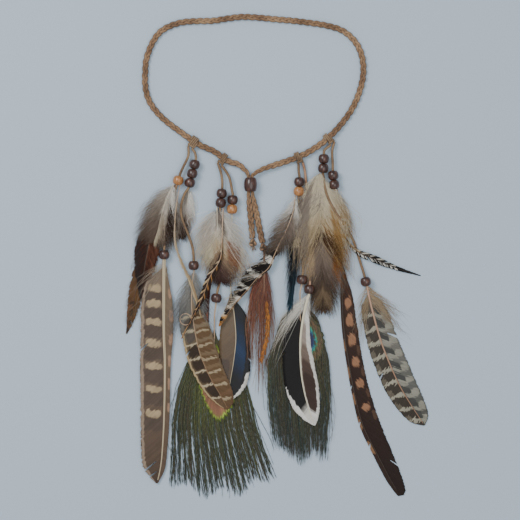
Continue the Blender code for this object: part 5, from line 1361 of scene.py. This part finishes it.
def lay_eye(bm, outline, high, material):
    """The eye of a peacock feather: a flat oval of close barbs with a ragged edge."""
    rim = smooth_points([photo_point(x, y) for x, y in (*outline, outline[0])], 8)
    middle = sum(rim, Vector()) / len(rim)
    count = len(rim) - 1

    def spot(i, j):
        out = i / EYE_RINGS
        point = middle.lerp(rim[j % count], out * (1.0 + (0.05 if j % 3 else -0.05) * out ** 4))
        point.z = high + 0.25 * (1 - out ** 2)
        return point

    def out_and_round(i, j):
        return i / EYE_RINGS, j / count

    verts = bent_grid(bm, EYE_RINGS, count, spot, out_and_round, out_and_round, material=material)
    bmesh.ops.remove_doubles(bm, verts=verts, dist=WELD)
    faces = list({face for vert in verts if vert.is_valid for face in vert.link_faces})
    bmesh.ops.recalc_face_normals(bm, faces=faces)
    bmesh.ops.solidify(bm, geom=faces, thickness=EYE_THICK * MM)


def eye_finish(name, rings):
    """Rings of structural colour round the eye, broken by the fine barbs, with a satin metallic gloss."""
    material, tree, shader = new_finish(name, Metallic=0.35, Roughness=0.38, Sheen_Weight=0.2)
    surface = read_uv(tree, "surface")
    chance = chance_of(tree, reckon(tree, "FLOOR", reckon(tree, "MULTIPLY", surface[1], EYE_BARBS)))
    drift = reckon(tree, "MULTIPLY_ADD", chance, 0.10, -0.05)
    tone = tone_ramp(tree, reckon(tree, "ADD", surface[0], drift), rings)
    light = reckon(tree, "MULTIPLY_ADD", chance, 0.7, 0.55)
    tree.links.new(lit(tree, tone, light), shader.inputs["Base Color"])
    return material


def lay_stem(bm, fan, until, radius, material, crown=0.5):
    """The shaft of a fringe, from its bead down into the herl."""
    places = [(0.0, fan.stem[0][1]), *fan.stem, until]
    stem = Route(smooth_points([fan.point(u, v, crown) for u, v in places], 8))
    sweep(bm, stem, even_steps(stem.length, 60), lambda s: (radius * (1 - 0.7 * s), radius * (1 - 0.7 * s)), around=8,
          material=material)


green_herl = herl_finish(
    "green_bronze_herl", [(0.0, "#6E6238"), (0.25, "#55602A"), (0.45, "#4A4A22"), (0.7, "#39401E"), (1.0, "#1E3028")],
    [(0.0, "#4A3321"), (0.25, "#4E5A22"), (0.5, "#5A4A28"), (0.72, "#22301F"), (0.88, "#183436"), (1.0, "#7A6A2A")],
    mix=0.6, metallic=0.1, roughness=0.5, centre=("#6E7A28", (0.40, 0.05), (0.38, 0.08)))
dark_herl = herl_finish(
    "brown_green_herl", [(0.0, "#5E4A2E"), (0.3, "#4A4426"), (0.6, "#3B4022"), (1.0, "#1C302C")],
    [(0.0, "#5A3A26"), (0.3, "#4A4E26"), (0.55, "#54422C"), (0.8, "#26362A"), (1.0, "#1B4246")], mix=0.5,
    metallic=0.1, roughness=0.5)

# The left peacock feather, with its bronze and lime eye.
fan = Fan("b1_lower", height=4.4, heading=0.6, length=189.0, layer=0.0,
          stem=[(0.018, -0.001), (0.07, -0.008), (0.13, -0.010)],
          left=[(0.20, -0.03), (0.305, -0.143), (0.43, -0.195), (0.60, -0.226)],
          tips=[(0.955, -0.240), (0.985, -0.205), (0.99, -0.14), (1.0, -0.070), (1.0, 0.023), (0.99, 0.080),
                (0.97, 0.140), (0.95, 0.218), (0.877, 0.290)],
          right=[(0.63, 0.200), (0.405, 0.145), (0.20, 0.012)])
bm = begin()
hairs(bm, herl(fan, count=290, seed=131, clumps=18, radius=0.5, segments=44, high=1.2, trim=0.08, gather=0.74,
               wave=0.012), flat=0.4, comb=0.4, taper=0.35)
hairs(bm, herl(fan, count=60, seed=132, clumps=9, radius=0.34, segments=44, high=1.2, trim=0.3, gather=-0.8,
               wave=0.03), flat=0.4, comb=0.6, taper=0.4)
lay_eye(bm, [(194, 350), (195, 367), (199.5, 386), (206, 404), (214, 417), (220, 420), (228, 413), (234, 400),
             (236, 380), (228, 356), (206, 342)], high=1.3, material=1)
lay_stem(bm, fan, until=(0.5, -0.02), radius=QUILL_RADIUS, material=2)
hand_over("peacock_left_herl", bm, ["peacock_left"], [
    green_herl, eye_finish("bronze_lime_eye", [(0.0, "#1C2A5A"), (0.3, "#2A6A6A"), (0.45, "#7A5030"), (0.8, "#8C5C42"),
                                               (0.90, "#7E6A34"), (0.935, "#94AC3A"), (0.97, "#8AA23A"),
                                               (1.0, "#5A6628")]),
    tan_shaft])

# The right peacock feather, whose teal and navy eye shows beside the white feather.
fan = Fan("c1_lower", height=4.4, heading=-0.8, length=178.0, layer=1.0,
          stem=[(0.018, -0.001), (0.05, -0.008), (0.09, -0.008)],
          left=[(0.158, -0.094), (0.437, -0.176), (0.672, -0.170)],
          tips=[(0.836, -0.138), (0.95, -0.095), (0.97, -0.05), (0.95, -0.02), (0.99, 0.02), (0.99, 0.06),
                (0.93, 0.09), (0.975, 0.120), (0.88, 0.152)],
          right=[(0.617, 0.165), (0.40, 0.145), (0.158, 0.080)])
bm = begin()
hairs(bm, herl(fan, count=270, seed=137, clumps=12, radius=0.5, segments=40, high=1.2, trim=0.12, gather=0.72,
               wave=0.014), flat=0.4, comb=0.4, taper=0.35)
hairs(bm, herl(fan, count=60, seed=138, clumps=7, radius=0.34, segments=40, high=1.2, trim=0.3, gather=-0.8,
               wave=0.035), flat=0.4, comb=0.6, taper=0.4)
lay_eye(bm, [(307, 313), (317, 322), (324, 340), (320, 358), (308, 366), (296, 358), (291, 340), (297, 322)],
        high=2.72, material=1)
lay_stem(bm, fan, until=(0.4, 0.0), radius=QUILL_RADIUS, material=2)
hand_over("peacock_right_herl", bm, ["peacock_right"], [
    dark_herl, eye_finish("teal_navy_eye", [(0.0, "#10102C"), (0.36, "#141E4E"), (0.46, "#14707A"), (0.55, "#228A62"),
                                            (0.60, "#55502A"), (0.76, "#64462A"), (0.9, "#504A24"), (1.0, "#3A421F")]),
    tan_shaft])

# The rust hackle fringe on the right tail, with a twisted gold hackle down its right side.
fan = Fan("right_tail", height=4.0, heading=0.0, length=146.0, layer=2.0, stem=[(0.03, 0.0), (0.06, 0.0)],
          left=[(0.12, -0.042), (0.28, -0.090), (0.48, -0.112)],
          tips=[(0.70, -0.115), (0.82, -0.060), (1.0, 0.006), (0.70, 0.030), (0.60, 0.062)],
          right=[(0.46, 0.064), (0.25, 0.040), (0.12, 0.022)])
rust = herl_finish(
    "rust_hackle_fringe", [(0.0, "#9A7A5C"), (0.12, "#74422E"), (0.4, "#70402C"), (0.7, "#84583E"), (1.0, "#967252")],
    [(0.0, "#5A261A"), (0.4, "#8A4022"), (0.7, "#96704E"), (1.0, "#6A3C28")], mix=0.5, metallic=0.0, roughness=0.55)
gold = herl_finish("golden_twisted_hackle", [(0.0, "#D08A2E"), (0.5, "#C97A22"), (1.0, "#7A4218")],
                   [(0.0, "#E0A040"), (0.5, "#B8641C"), (1.0, "#5A2E14")], mix=0.45, metallic=0.0, roughness=0.4)
bm = begin()
hairs(bm, herl(fan, count=170, seed=139, clumps=8, radius=0.3, segments=24, high=1.3, roots=(0.0, 0.3), trim=0.5,
               gather=0.75, wave=0.02), flat=0.6, comb=0.8)
twist = Route(smooth_points([photo_point(x, y, 5.0) for x, y in
                             ((266, 300), (268, 322), (266, 342), (262, 358), (259, 368))], 8))
rng = random.Random(149)
whorl = []
for k in range(300):
    start = rng.random() * twist.length * 0.85
    turn = start * 0.55 + rng.choice((0.0, math.pi)) + rng.gauss(0.0, 0.3)
    forward = twist.tangent(start)
    side = forward.cross(UP).normalized()
    points = [twist.point(start + 6.0 * t / 5) + side * math.cos(turn) * 2.6 * (t / 5) ** 0.8
              + UP * (math.sin(turn) * (t / 5) ** 0.8) for t in range(6)]
    whorl.append((points, 0.26, start / twist.length, [0.5] * 6, rng.random()))
hairs(bm, whorl, flat=0.7, comb=1.0, material=1)
lay_stem(bm, fan, until=(0.3, 0.0), radius=1.2, material=0)
hand_over("rust_hackle_fringe", bm, ["rust_fringe"], [rust, gold])

# The table, the light and the camera
# A pale blue-grey table under soft daylight from the upper left, seen from straight above with a long lens.
TABLE_HALF = 1.5
TABLE_DROP = 0.0003
CAMERA_HEIGHT = 2.4
PHOTO_WIDTH = 0.490
floor_bm = bmesh.new()
bmesh.ops.create_grid(floor_bm, x_segments=1, y_segments=1, size=TABLE_HALF)
bmesh.ops.translate(floor_bm, vec=(0, 0, -TABLE_DROP), verts=floor_bm.verts)
floor_mesh = bpy.data.meshes.new("table_top")
floor_bm.to_mesh(floor_mesh)
floor_bm.free()
floor = bpy.data.objects.new("table_top", floor_mesh)
bpy.context.scene.collection.objects.link(floor)
floor_paint, _, _ = new_finish("pale_matt_paint", Base_Color=paint("#C4D3E0"), Roughness=0.9)
floor_mesh.materials.append(floor_paint)

photo_centre = ORIGIN + Vector((9.0, -70.9, 0.0)) * MM
for lamp_name, where, size, power in (
        ("window", (-0.9, 0.7, 1.5), 0.9, 16.0), ("sky", (0.5, -0.2, 1.9), 1.6, 11.0)):
    lamp = bpy.data.lights.new(lamp_name, "AREA")
    lamp.shape, lamp.size, lamp.energy = "DISK", size, power
    lamp_object = bpy.data.objects.new(lamp_name, lamp)
    bpy.context.scene.collection.objects.link(lamp_object)
    lamp_object.location = Vector(where)
    lamp_object.rotation_euler = (photo_centre - Vector(where)).to_track_quat("-Z", "Y").to_euler()
world = bpy.data.worlds.new("daylight")
world.use_nodes = True
world.node_tree.nodes["Background"].inputs["Color"].default_value = paint("#E6EEF5")
world.node_tree.nodes["Background"].inputs["Strength"].default_value = 0.55
bpy.context.scene.world = world

camera = bpy.data.cameras.new("long_lens")
camera.sensor_width = 36.0
camera.lens = 36.0 * CAMERA_HEIGHT / PHOTO_WIDTH
camera_object = bpy.data.objects.new("long_lens", camera)
bpy.context.scene.collection.objects.link(camera_object)
camera_object.location = photo_centre + UP * CAMERA_HEIGHT
bpy.context.scene.camera = camera_object
